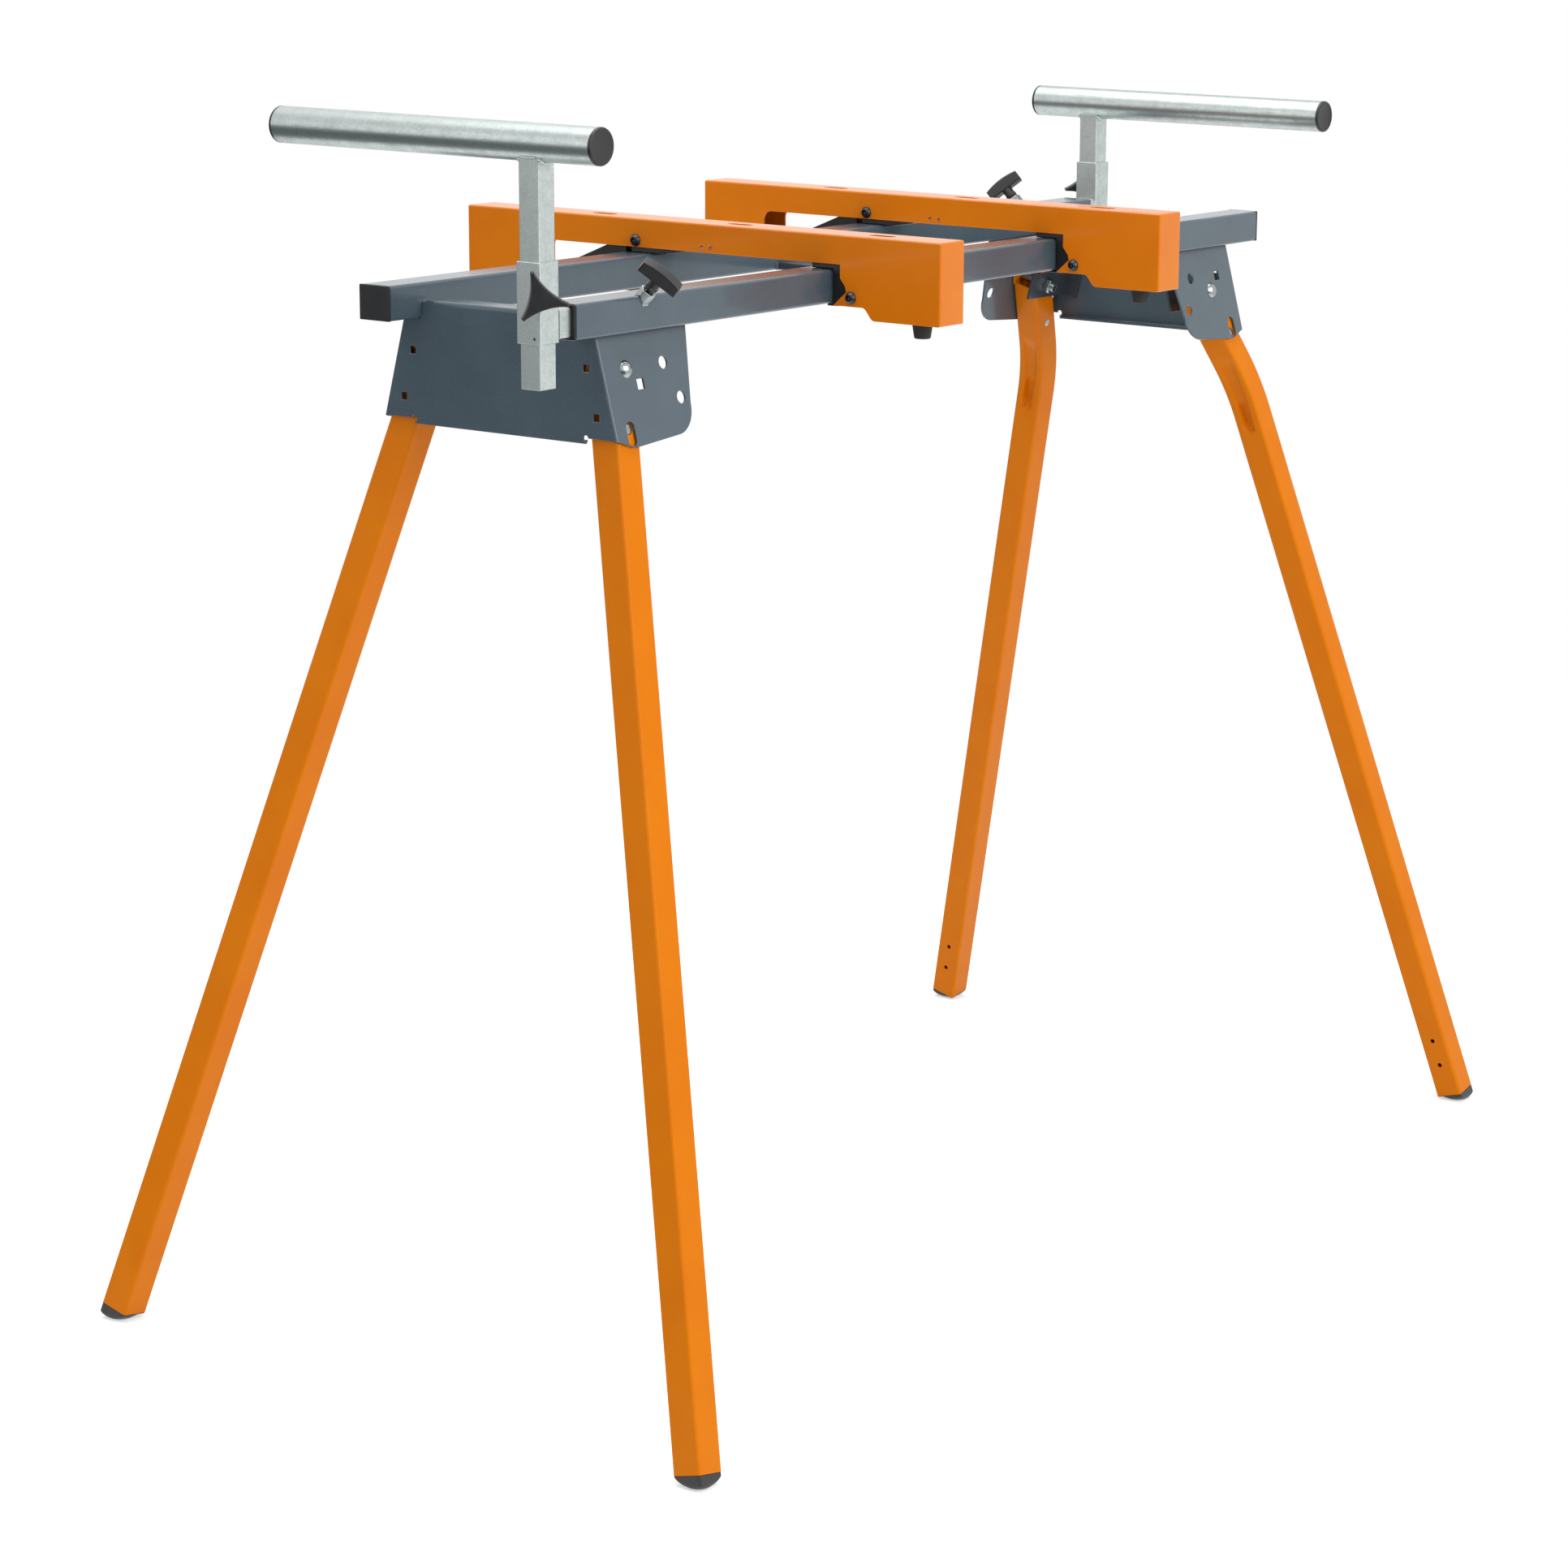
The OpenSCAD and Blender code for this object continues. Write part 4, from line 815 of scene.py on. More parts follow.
def dent(run, u, v):
    """Presses the inner wall of a far leg's bend."""
    if v < 0 or not DENT_TOP < run < POCKET_STOP:
        return u, v
    f = (run - DENT_TOP) / (SCOOP_STOP - DENT_TOP)
    half = SCOOP_HALF[0] + (SCOOP_HALF[1] - SCOOP_HALF[0]) * min(f, 1)
    starts, stops, sides = SCOOP_SLOPES
    depth = SCOOP_DEEP * smooth(f * starts) * smooth((1 - f) * stops) * smooth((half - abs(u)) / sides)
    if run > POCKET_START:
        starts, stops, sides = POCKET_SLOPES
        ends = min((run - POCKET_START) / starts, (POCKET_STOP - run) / stops)
        round_end = max(0, run - (POCKET_STOP - POCKET_HALF))
        half = sqrt(max(0.01, POCKET_HALF**2 - round_end**2))
        depth += POCKET_DEEP * smooth(ends) * smooth((half - abs(u)) / sides)
        depth -= BUMP_RISE * smooth(1 - sqrt((run - BUMP_AT) ** 2 + u * u) / BUMP_R)
    return u, v - depth


def rod(a, b, r, steps=32):
    """A closed cylinder between two points."""
    return lathe([(0, 0), (r, 0), (r, (b - a).length), (0, (b - a).length)], a, b - a, steps)


def bored(bm, *cutters):
    """Cuts closed meshes out of another, all in mm."""
    objects = []
    for source in (bm, join(*cutters)):
        mesh = bpy.data.meshes.new("cut")
        source.to_mesh(mesh)
        source.free()
        objects.append(stand("cut", mesh))
    body, tool = objects
    cut = body.modifiers.new("cut", "BOOLEAN")
    cut.operation, cut.object, cut.solver = "DIFFERENCE", tool, "EXACT"
    result = bmesh.new()
    result.from_mesh(result_of(body))
    for made in objects:
        bpy.data.objects.remove(made)
    return result


def half_disc(r, thickness, middle):
    """The round top of a leg's side wall, in the leg's pivot frame."""
    points = arc_points(0, 0, r, 0, 180, 20) + [(-r, -WALL_LAP), (r, -WALL_LAP)]
    return slab([points], thickness, WALL_EDGE, Matrix.Translation((0, middle + thickness / 2, 0)) @ ON_EDGE)


def placed(bm, place):
    """Moves a mesh into place, and turns its faces outwards again where place mirrors it."""
    bm.transform(place)
    bmesh.ops.recalc_face_normals(bm, faces=bm.faces)
    return bm


for end in ENDS:
    bent = end == "far"
    lock, across = Vector((0, LEG_PLANE, -LOCK_R[end])), ACROSS * LEG_SIZE
    foot_end, out, _ = leg_stations(end)[-1]
    drains = [foot_end - out * up for up in DRAIN_UP] if bent else []
    for side in SIDES:
        tube = square_tube(
            leg_stations(end), ACROSS, LEG_SIZE, LEG_SIZE, LEG_WALL, LEG_CORNER,
            DENT_SPLITS if bent else 1, dent if bent else None,
        )
        holes = [rod(lock, lock + across, BUTTON_HOLE / 2), rod(lock - across, lock, PIN_HOLE / 2, 24)]
        holes += [rod(spot, spot - out.cross(ACROSS) * LEG_SIZE, DRAIN_HOLE / 2, 24) for spot in drains]
        walls = [
            half_disc(LEG_SIZE / 2, LEG_WALL, LEG_PLANE + k * (LEG_SIZE - LEG_WALL) / 2)
            for k in (-1, 1)
        ]
        leg = placed(join(bored(tube, *holes), *walls), pivot_place(end, side))
        settle(
            f"leg_tube_{end}_{side}", leg, leg_coat, f"leg_{end}_{side}", "orange_paint",
            f"leg_{end}_{side}",
        )

# ---------------------------------------------------------------- feet of the legs
# Black plastic plugs pressed into the legs, with a sole cut to lie flat on the floor.

FOOT_PLUG, FOOT_ROUND, FOOT_INSET, PLUG_TAPER, RIM_STEPS = 18, 6.5, 0.15, 1.2, 8
CUT_GAP, RIM_BREAK, RIM_LEAST, SOLE_CORNER, FLOOR_GAP = 0.1, 0.2, 0.6, 9, 0.02


def leg_foot(end, side):
    """A plug that fills the cut end of a leg, then swells down to the floor with a rounded rim."""
    place = pivot_place(end, side)
    cut, out, _ = leg_stations(end)[-1]
    up = ACROSS.cross(out).normalized()
    down = place.to_3x3() @ out
    inner = LEG_SIZE - 2 * LEG_WALL - 2 * FOOT_INSET
    flange = LEG_SIZE - 2 * FOOT_INSET
    bm = bmesh.new()

    def ring(size, corner, reach):
        """A ring of points: reach is the run past the cut, or how high above the floor to stop."""
        made = []
        for u, v in rounded_rectangle(size, size, corner, 4, 6):
            point = place @ (cut + ACROSS * u + up * v)
            run = reach[1] if reach[0] == "run" else max((reach[1] - point.z) / down.z, RIM_LEAST)
            made.append(bm.verts.new(point + down * run))
        return made

    rings = [
        ring(inner - PLUG_TAPER, 1, ("run", -FOOT_PLUG)),
        ring(inner, PLUG_TAPER, ("run", PLUG_TAPER - FOOT_PLUG)),
        ring(inner, PLUG_TAPER, ("run", CUT_GAP)),
        ring(flange - 2 * RIM_BREAK, LEG_CORNER, ("run", CUT_GAP)),
        ring(flange, LEG_CORNER, ("run", CUT_GAP + RIM_BREAK)),
    ]
    for k in range(RIM_STEPS + 1):
        a = pi / 2 * k / RIM_STEPS
        inset = FOOT_ROUND * (1 - cos(a))
        rings.append(
            ring(
                flange - 2 * inset,
                min(LEG_CORNER + SOLE_CORNER * sin(a), flange / 2 - inset - RIM_BREAK),
                ("floor", FLOOR_GAP + FOOT_ROUND * (1 - sin(a))),
            )
        )
    skin(bm, rings)
    bm.faces.new(rings[0])
    bm.faces.new(rings[-1])
    bmesh.ops.recalc_face_normals(bm, faces=bm.faces)
    return bm


for end in ENDS:
    for side in SIDES:
        settle(
            f"leg_foot_{end}_{side}", leg_foot(end, side), black_nylon, f"leg_{end}_{side}",
            "black_plastic", f"foot_{end}_{side}",
        )

# ---------------------------------------------------------------- leg locks
# A plated button in each leg, pushed outwards by a folded leaf of spring steel riveted inside
# the tube. Here its tip stops short of the cheek, so that the leg is free to fold.

# hardened spring strip: a darker, bluish metal
spring_strip = plated("spring_steel_strip", srgb("9AA1A6"), srgb("7C848A"), 0.3, 0.42, 1.5)

BUTTON_D, BUTTON_LENGTH, BUTTON_PROUD, BUTTON_CROWN, DIMPLE_R = 10, 9, 0.4, 1.6, 1.2
BUTTON_FLANGE, FLANGE_T = 7, 1.5
SPRING_SHEET, SPRING_W, SPRING_LENGTH = 0.8, 12, 46
SPRING_TOP, SPRING_FOLD_UP, SPRING_FOLD_IN, SPRING_HOLD = 7, 14, 8, 2
SPRING_SEAT = LEG_PLANE - LEG_SIZE / 2 + LEG_WALL
RIVET_SEAT = 1.55
button_face = LEG_PLANE + LEG_SIZE / 2 + BUTTON_PROUD
leaf = button_face - BUTTON_LENGTH
r = BUTTON_D / 2
button_profile = [
    (0, 0), (BUTTON_FLANGE - BREAK, 0), (BUTTON_FLANGE, BREAK), (BUTTON_FLANGE, FLANGE_T - BREAK),
    (BUTTON_FLANGE - BREAK, FLANGE_T), (r, FLANGE_T),
    *arc_points(r - BUTTON_CROWN, BUTTON_LENGTH - BUTTON_CROWN, BUTTON_CROWN, 0, 90, 4),
    (DIMPLE_R, BUTTON_LENGTH), (DIMPLE_R - BREAK, BUTTON_LENGTH - BREAK), (0, BUTTON_LENGTH - BREAK),
]
strip = [
    (leaf, SPRING_TOP), (leaf, -SPRING_TOP), (leaf - SPRING_FOLD_IN, -SPRING_LENGTH),
    (SPRING_SEAT, SPRING_FOLD_UP - SPRING_LENGTH), (SPRING_SEAT, SPRING_TOP),
    (SPRING_SEAT + SPRING_SHEET, SPRING_TOP),
    (SPRING_SEAT + SPRING_SHEET, SPRING_FOLD_UP + SPRING_SHEET - SPRING_LENGTH),
    (leaf - SPRING_FOLD_IN - SPRING_SHEET / 2, 3 * SPRING_SHEET - SPRING_LENGTH),
    (leaf - SPRING_SHEET, -SPRING_TOP), (leaf - SPRING_SHEET, SPRING_TOP),
]
rivet_profile = [(0, 0), (2.7, 0), (2.7, 1.6), (3.3, 1.6), (3.3, 1.8), (2.2, 2.2), (0, 2.3)]
sideways = Matrix(((0, 0, 1, 0), (1, 0, 0, 0), (0, 1, 0, 0), (0, 0, 0, 1)))
for end in ENDS:
    lock_z = -LOCK_R[end]
    for side in SIDES:
        place = pivot_place(end, side)
        leg, own = f"leg_{end}_{side}", f"button_{end}_{side}"
        button = lathe(button_profile, Vector((0, leaf, lock_z)), ACROSS)
        settle(own, placed(button, place), bright_plate, own, "bright_zinc", f"lock_button_{end}_{side}")
        rivet = lathe(
            rivet_profile, Vector((0, LEG_PLANE - LEG_SIZE / 2 + RIVET_SEAT, lock_z)), -ACROSS, 32
        )
        settle(f"spring_rivet_{end}_{side}", placed(rivet, place), bright_plate, leg, "bright_zinc")
        lay = place @ Matrix.Translation((-SPRING_W / 2, 0, lock_z)) @ sideways
        settle(
            f"spring_{end}_{side}", slab([strip], SPRING_W, FINE_EDGE, lay), spring_strip,
            (leg, own), "spring_steel", f"lock_spring_{end}_{side}",
            bend=[
                place @ Vector((0, y, lock_z)) * MM for y in (SPRING_SEAT + SPRING_HOLD, leaf - SPRING_HOLD)
            ],
        )

# ---------------------------------------------------------------- extension arms and sleeves
# A square tube slides out of each rail, with a short upright sleeve welded on its end. Both
# are zinc plated after welding. A plastic block centres the arm's inner end in the rail.

# zinc-plated tube: pale and slightly green, with crystals and marks that follow the tube
zinc_along = plated("zinc_plated_tube_along", srgb("D0D8D5"), srgb("A6AFAD"), 0.3, 0.46, 1.6, (0.06, 1, 1))
zinc_up = plated("zinc_plated_tube_upright", srgb("D2DAD7"), srgb("A8B2B0"), 0.3, 0.46, 1.6, (1, 1, 0.06))

ARM_SIZE, ARM_WALL, ARM_SHOW, ARM_INSIDE, ARM_CORNER, SLIDE_BLOCK = 24, 1.5, 16, 1010, 2, 24
SLEEVE_X, SLEEVE_H, SLEEVE_CORNER = RAIL_LENGTH / 2 + ARM_SHOW + ARM_SIZE / 2, 64, 1.5
VENT_DEEP, VENT_IN, VENT_UP, VENT_R = 3, 5.5, 4.5, 1.3
SEAM_HALF, SEAM_UP, SEAM_OUT = 8, 11.8, 0.2
HALF_TURN = {"near": Matrix.Identity(4), "far": Matrix.Rotation(pi, 4, "Z")}
STAR_Z = RAIL_TOP + 9


def sleeve_edge(end):
    """The sleeve's outer corner, with +z along the star knob's axis."""
    corner = Matrix.Translation((-SLEEVE_X - ARM_SIZE / 2, -RAIL_Y - ARM_SIZE / 2, STAR_Z))
    return HALF_TURN[end] @ corner @ Matrix.Rotation(pi / 4, 4, "Z") @ Matrix.Rotation(-pi / 2, 4, "Y")


for end in ENDS:
    turned = HALF_TURN[end]
    start = Vector((-RAIL_LENGTH / 2 - ARM_SHOW, -RAIL_Y, RAIL_MID))
    arm = square_tube(
        straight(start, start + ALONG * (ARM_SHOW + ARM_INSIDE - SLIDE_BLOCK / 2)), ACROSS,
        ARM_SIZE, ARM_SIZE, ARM_WALL, ARM_CORNER,
    )
    arm.transform(turned)
    settle(f"arm_tube_{end}", arm, zinc_along, f"arm_{end}", "zinc", f"arm_{end}")

    low = Vector((-SLEEVE_X, -RAIL_Y, RAIL_LOW))
    sleeve = square_tube(
        straight(low, low + UP * SLEEVE_H), ALONG, ARM_SIZE, ARM_SIZE, ARM_WALL, SLEEVE_CORNER
    )
    vent = low + Vector((-ARM_SIZE / 2 + VENT_DEEP, -ARM_SIZE / 2 + VENT_IN, VENT_UP))
    sleeve = bored(sleeve, rod(vent, vent - ALONG * ARM_SIZE / 2, VENT_R, 20))
    sleeve.transform(turned)
    settle(f"sleeve_tube_{end}", sleeve, zinc_up, f"arm_{end}", "zinc", f"sleeve_{end}")

    settle_softened(
        f"slide_block_{end}", f"arm_slide_{end}", 0.5, black_nylon, f"arm_{end}", "black_plastic"
    )
    reach = SLEEVE_X - ARM_SIZE / 2 - SEAM_OUT
    seams = [
        [(-reach, -RAIL_Y + y, RAIL_MID + k * SEAM_UP) for y in (-SEAM_HALF, SEAM_HALF)]
        for k in (-1, 1)
    ]
    grow(
        f"sleeve_welds_{end}", paths(seams, turned), weld_bead, zinc_up,
        {"Drop radius": 0.9 * MM, "Pitch": 0.6 * MM}, f"arm_{end}", "zinc",
    )

# ---------------------------------------------------------------- weld nuts of the knobs
# Hexagon nuts with a V filed in them, welded on the corner of a tube: one on each sleeve and
# one on each rail.

NUT_AF, NUT_H, STUD_D = 12, 6, 6
NUT_CHAMFER, NUT_TOP_SHARE, FLARE, FLARE_DEEP, BORE_GAP = 1.1, 0.985, 0.75, 0.5, 0.05
TEE_IN, V_CUT = 86, 20


def weld_nut():
    """A chamfered hexagon nut along +z, with enough below it to close on a tube's corner."""
    steps, foot, half, bore = 48, -5.6, NUT_AF / 2, STUD_D / 2
    bm = bmesh.new()
    rings = []
    for z, widest in (
        (foot, NUT_AF), (NUT_H - NUT_CHAMFER, NUT_AF), (NUT_H, half * NUT_TOP_SHARE),
        (NUT_H, bore + FLARE), (NUT_H - FLARE_DEEP, bore + BORE_GAP), (foot, bore + BORE_GAP),
    ):
        ring = []
        for i in range(steps):
            a = 2 * pi * i / steps
            r = min(widest, half / cos((a % (pi / 3)) - pi / 6))
            ring.append(bm.verts.new((r * cos(a), r * sin(a), z)))
        rings.append(ring)
    skin(bm, rings, closed=True)
    bmesh.ops.recalc_face_normals(bm, faces=bm.faces)
    return bm


def rail_edge(end):
    """The top outer corner of a rail at its T knob, with +z along the knob's axis."""
    corner = Matrix.Translation((-RAIL_LENGTH / 2 + TEE_IN, -RAIL_Y - RAIL_W / 2, RAIL_TOP))
    return HALF_TURN[end] @ corner @ Matrix.Rotation(pi / 4, 4, "X")


settle_softened("rail_weld_nuts", "arm_lock_nuts", 0.5, bright_plate, "frame", "bright_zinc")
cut_place = Matrix(((0, 0, 1, -V_CUT), (0, 1, 0, 0), (-1, 0, 0, 0), (0, 0, 0, 1)))
for end in ENDS:
    nut = bored(weld_nut(), slab([[(0, 0), (V_CUT, V_CUT), (V_CUT, -V_CUT)]], 2 * V_CUT, 0, cut_place))
    settle(f"sleeve_nut_{end}", placed(nut, sleeve_edge(end)), bright_plate, f"arm_{end}", "zinc")
flat = NUT_AF / 2
bead_lines = [
    [rail_edge(end) @ Vector((x, k * (flat - abs(x) * 0.2), BEAD_OUT - flat)) for x in (-3, -1, 1, 3)]
    for end in ENDS
    for k in (-1, 1)
]
grow(
    "nut_welds", paths(bead_lines), weld_bead, bright_plate,
    {"Drop radius": 1.1 * MM, "Pitch": 0.7 * MM}, "frame", "bright_zinc",
)

# ---------------------------------------------------------------- columns and work supports
# A smaller square tube slides in each sleeve and carries a round tube welded across its
# top, all zinc plated, with a black cap pressed into each end of the round tube.

zinc_across = plated(
    "zinc_plated_tube_across", srgb("C3CBC9"), srgb("9BA4A2"), 0.28, 0.4, 1.4, (1, 0.05, 1)
)

COLUMN_SIZE, COLUMN_LENGTH, SUPPORT_D, SUPPORT_LENGTH = 20, 177, 30, 335
COLUMN_CORNER, COLUMN_SUNK = 1.2, 5
SUPPORT_SHORT, SUPPORT_WALL, CAP_T, CAP_WALL, CAP_DEEP = 66, 1.5, 2.5, 3.4, 14
COLUMN_DROP = {"near": 36, "far": 69}
# the bead along each side of the column's top, and the fuller one round its front and back
BEAD_HALF, BEAD_DROP, COLLAR_OUT, COLLAR_DROP, COLLAR_SPOTS = 7, 0.3, 0.5, 0.6, (-8, -4, 0, 4, 8)
for end in ENDS:
    turned = HALF_TURN[end]
    low = Vector((-SLEEVE_X, -RAIL_Y, RAIL_LOW - COLUMN_DROP[end]))
    axis_z = low.z + COLUMN_LENGTH + SUPPORT_D / 2
    r = SUPPORT_D / 2
    column = square_tube(
        straight(low, low + UP * (COLUMN_LENGTH + COLUMN_SUNK)), ALONG,
        COLUMN_SIZE, COLUMN_SIZE, ARM_WALL, COLUMN_CORNER,
    )
    column.transform(turned)
    settle(f"column_tube_{end}", column, zinc_up, f"column_{end}", "zinc", f"column_{end}")

    start = Vector((-SLEEVE_X, -RAIL_Y - SUPPORT_SHORT + CAP_T, axis_z))
    span = SUPPORT_LENGTH - 2 * CAP_T
    inside = r - SUPPORT_WALL
    profile = [
        (inside, 0), (r - BREAK, 0), (r, BREAK), (r, span - BREAK), (r - BREAK, span), (inside, span),
        (inside, 0),
    ]
    shell = lathe(profile, start, ACROSS, 72)
    bmesh.ops.remove_doubles(shell, verts=shell.verts, dist=0.001)
    bmesh.ops.recalc_face_normals(shell, faces=shell.faces)
    shell.transform(turned)
    settle(f"support_roller_{end}", shell, zinc_across, f"column_{end}", "zinc", f"support_tube_{end}")

    plug, hollow = inside - 0.05, r - CAP_WALL
    profile = [
        (0, 0.5), (hollow, 0.5), (r - 2.6, 0), (r - 1.2, 0), (r - 0.4, 0.35), (r, 1.1),
        (r, CAP_T), (plug, CAP_T), (plug, CAP_DEEP), (hollow, CAP_DEEP + 0.5), (0, CAP_DEEP + 0.5),
    ]
    caps = join(
        lathe(profile, start - ACROSS * CAP_T, ACROSS, 64),
        lathe(profile, start + ACROSS * (span + CAP_T), -ACROSS, 64),
    )
    settle(
        f"support_caps_{end}", placed(caps, turned), black_nylon, f"column_{end}", "black_plastic",
        f"tube_caps_{end}",
    )

    half = COLUMN_SIZE / 2
    x = half + SEAM_OUT
    z = axis_z - sqrt(r * r - x**2) - BEAD_DROP
    seams = [
        [(-SLEEVE_X + k * x, -RAIL_Y + y, z) for y in (-BEAD_HALF, BEAD_HALF)] for k in (-1, 1)
    ]
    collars = [
        [
            (-SLEEVE_X + d, -RAIL_Y + k * (half + COLLAR_OUT), axis_z - sqrt(r * r - d * d) - COLLAR_DROP)
            for d in COLLAR_SPOTS
        ]
        for k in (-1, 1)
    ]
    grow(
        f"support_welds_{end}", paths(seams, turned), weld_bead, zinc_up,
        {"Drop radius": 1.1 * MM, "Pitch": 0.8 * MM}, f"column_{end}", "zinc",
    )
    grow(
        f"support_collars_{end}", paths(collars, turned), weld_bead, zinc_up,
        {"Drop radius": 2 * MM, "Pitch": 1.3 * MM}, f"column_{end}", "zinc",
    )

# ---------------------------------------------------------------- clamp knobs
# Black moulded knobs on plated M6 studs: a three-armed star on each sleeve and a T handle on
# each rail. The stud's tip presses on the tube inside.

STAR_REACH, STAR_WAIST, STAR_THICK, STAR_GAP, STAR_TURN = 22, 9, 10, 1.5, radians(18)
STAR_TIP, THIRD, STAR_EDGE, TEE_EDGE, TIP_GAP = 1.3, radians(120), 1.4, 1.3, 0.3
STAR_STEPS, CROWN_STEPS = 20, 16
TEE_LENGTH, TEE_BAR_W, TEE_BAR_H, TEE_CROWN = 36, 11.5, 12, 2.5
TEE_STEM_D, TEE_STEM_H, TEE_TURN, TEE_COLLAR = 11, 9.5, radians(-60), 3
star_tip = (ARM_SIZE - COLUMN_SIZE) / sqrt(2) - TIP_GAP
tee_tip = ((RAIL_W - ARM_SIZE) / 2 + (RAIL_H - ARM_SIZE) / 2) / sqrt(2) - TIP_GAP


def stud(name, place, tip, length, body, node):
    """A threaded stud: a plain core with a pointed tip, and the thread's ridges round it."""
    r = STUD_D / 2
    core = lathe(
        [(0, 0), (r - 1.2, 0), (r - 0.5, 0.8), (r - 0.5, length - 0.2), (0, length - 0.2)],
        Vector((0, 0, -tip)), UP, 24,
    )
    core.transform(place)
    settle(f"{name}_core", core, bright_plate, body, "bright_zinc", node)
    line = [(0, 0, z - tip) for z in (1.2, length - 1)]
    grow(
        f"{name}_thread", paths([line], place), rolled_thread, bright_plate,
        {"Outer radius": (r - 0.02) * MM, "Depth": 0.4 * MM, "Pitch": 1 * MM}, body, "bright_zinc",
    )


for end in ENDS:
    place = sleeve_edge(end)
    stud(
        f"star_{end}", place, star_tip, star_tip + NUT_H + STAR_GAP + STAR_THICK / 2,
        f"star_stud_{end}", f"star_stud_{end}",
    )
    onward = Matrix.Rotation(THIRD, 2)
    start, stop = Vector((STAR_REACH, STAR_TIP)), onward @ Vector((STAR_REACH, -STAR_TIP))
    pull = 2 * STAR_WAIST * Vector((0.5, sqrt(0.75))) - (start + stop) / 2
    outline = [
        Matrix.Rotation(STAR_TURN + THIRD * k, 2)
        @ (start * (1 - f) ** 2 + pull * 2 * f * (1 - f) + stop * f**2)
        for k in range(3)
        for f in (i / STAR_STEPS for i in range(STAR_STEPS + 1))
    ]
    knob = slab([outline], STAR_THICK, STAR_EDGE, Matrix.Translation((0, 0, NUT_H + STAR_GAP)), 4)
    settle(
        f"star_handle_{end}", placed(knob, place), black_nylon, f"star_knob_{end}", "black_plastic",
        f"star_knob_{end}",
    )

    place = rail_edge(end)
    stud(
        f"tee_{end}", place, tee_tip, tee_tip + NUT_H + STAR_GAP + TEE_STEM_H / 2,
        f"tee_stud_{end}", f"tee_stud_{end}",
    )
    crown_r = ((TEE_LENGTH / 2) ** 2 + TEE_CROWN**2) / (2 * TEE_CROWN)
    bar = [(-TEE_LENGTH / 2, 0), (TEE_LENGTH / 2, 0)]
    for i in range(CROWN_STEPS + 1):
        x = TEE_LENGTH / 2 - TEE_LENGTH * i / CROWN_STEPS
        bar.append((x, TEE_BAR_H - crown_r + sqrt(crown_r**2 - x * x)))
    lay = Matrix.Rotation(TEE_TURN, 4, "Z") @ Matrix.Translation((0, TEE_BAR_W / 2, TEE_STEM_H))
    handle = slab([bar], TEE_BAR_W, TEE_EDGE, lay @ ON_EDGE, 3)
    ring = TEE_STEM_D / 2
    stem = lathe(
        [
            (0, 0.02), (ring - 0.8, 0), (ring, 0.6), (ring, TEE_COLLAR), (ring - 0.5, TEE_COLLAR + 0.5),
            (ring - 0.5, TEE_STEM_H + 2), (0, TEE_STEM_H + 2),
        ],
        Vector(), UP, 40,
    )
    handle = placed(join(handle, stem), place @ Matrix.Translation((0, 0, NUT_H + STAR_GAP)))
    settle(f"tee_handle_{end}", handle, black_nylon, f"tee_knob_{end}", "black_plastic", f"tee_knob_{end}")

# ---------------------------------------------------------------- tool bars
# Channels folded from 2 mm sheet with closed ends, slotted along the top for the saw's
# bolts, cut away over the rails and coated orange.

BAR_W, BAR_TOP, BAR_FRONT, BAR_BACK = 36, 934, -227.5, 291.5
BAR_X = {"near": -170, "far": 177}
BAR_EDGE, BAR_FOLD, TOUCH = 0.25, 1.8, 0.05


def bar_fold(middle):
    """Picks the outer folds of a bar: the edges that lie in two of its outer planes."""

    def picks(e):
        """Whether both ends of an edge lie in two of the planes."""
        ends = [v.co for v in e.verts]
        off = (
            lambda p: p.z - BAR_TOP, lambda p: abs(p.x - middle) - BAR_W / 2,
            lambda p: p.y - BAR_FRONT, lambda p: p.y - BAR_BACK,
        )
        return sum(all(abs(plane(p)) < TOUCH for p in ends) for plane in off) >= 2

    return picks


for end, x in BAR_X.items():
    settle_softened(
        f"bar_channel_{end}", f"tool_bar_{end}", BAR_EDGE, orange_coat, f"bar_{end}", "orange_paint",
        wide=bar_fold(x), wide_edge=BAR_FOLD,
    )

# ---------------------------------------------------------------- hooks, pads and latch levers
# Moulded nylon pieces inside each bar: a hook that grips the front rail, a saddle that rests
# on the back rail, and the lever that latches under it.

for end in ENDS:
    for node, name, edge in (
        ("front_hook", "rail_hook", 1.0), ("saddle_pad", "rail_saddle", 0.5), ("latch_lever", "lever", 1.2)
    ):
        body = f"latch_{end}" if node == "latch_lever" else f"bar_{end}"
        settle_softened(f"{name}_{end}", f"{node}_{end}", edge, black_nylon, body, "black_plastic", steps=3)

# ---------------------------------------------------------------- bar fasteners
# Black-oxide cross bolts with domed heads and a hexagon socket, their nuts on the other web,
# and a countersunk screw that holds the saddle. A bright rivet shows on each saddle.

# black oxide over steel: nearly black, but it still glints like metal
black_oxide = plated("black_oxide_steel", srgb("4A4B4E"), srgb("303134"), 0.28, 0.42, 0.9)

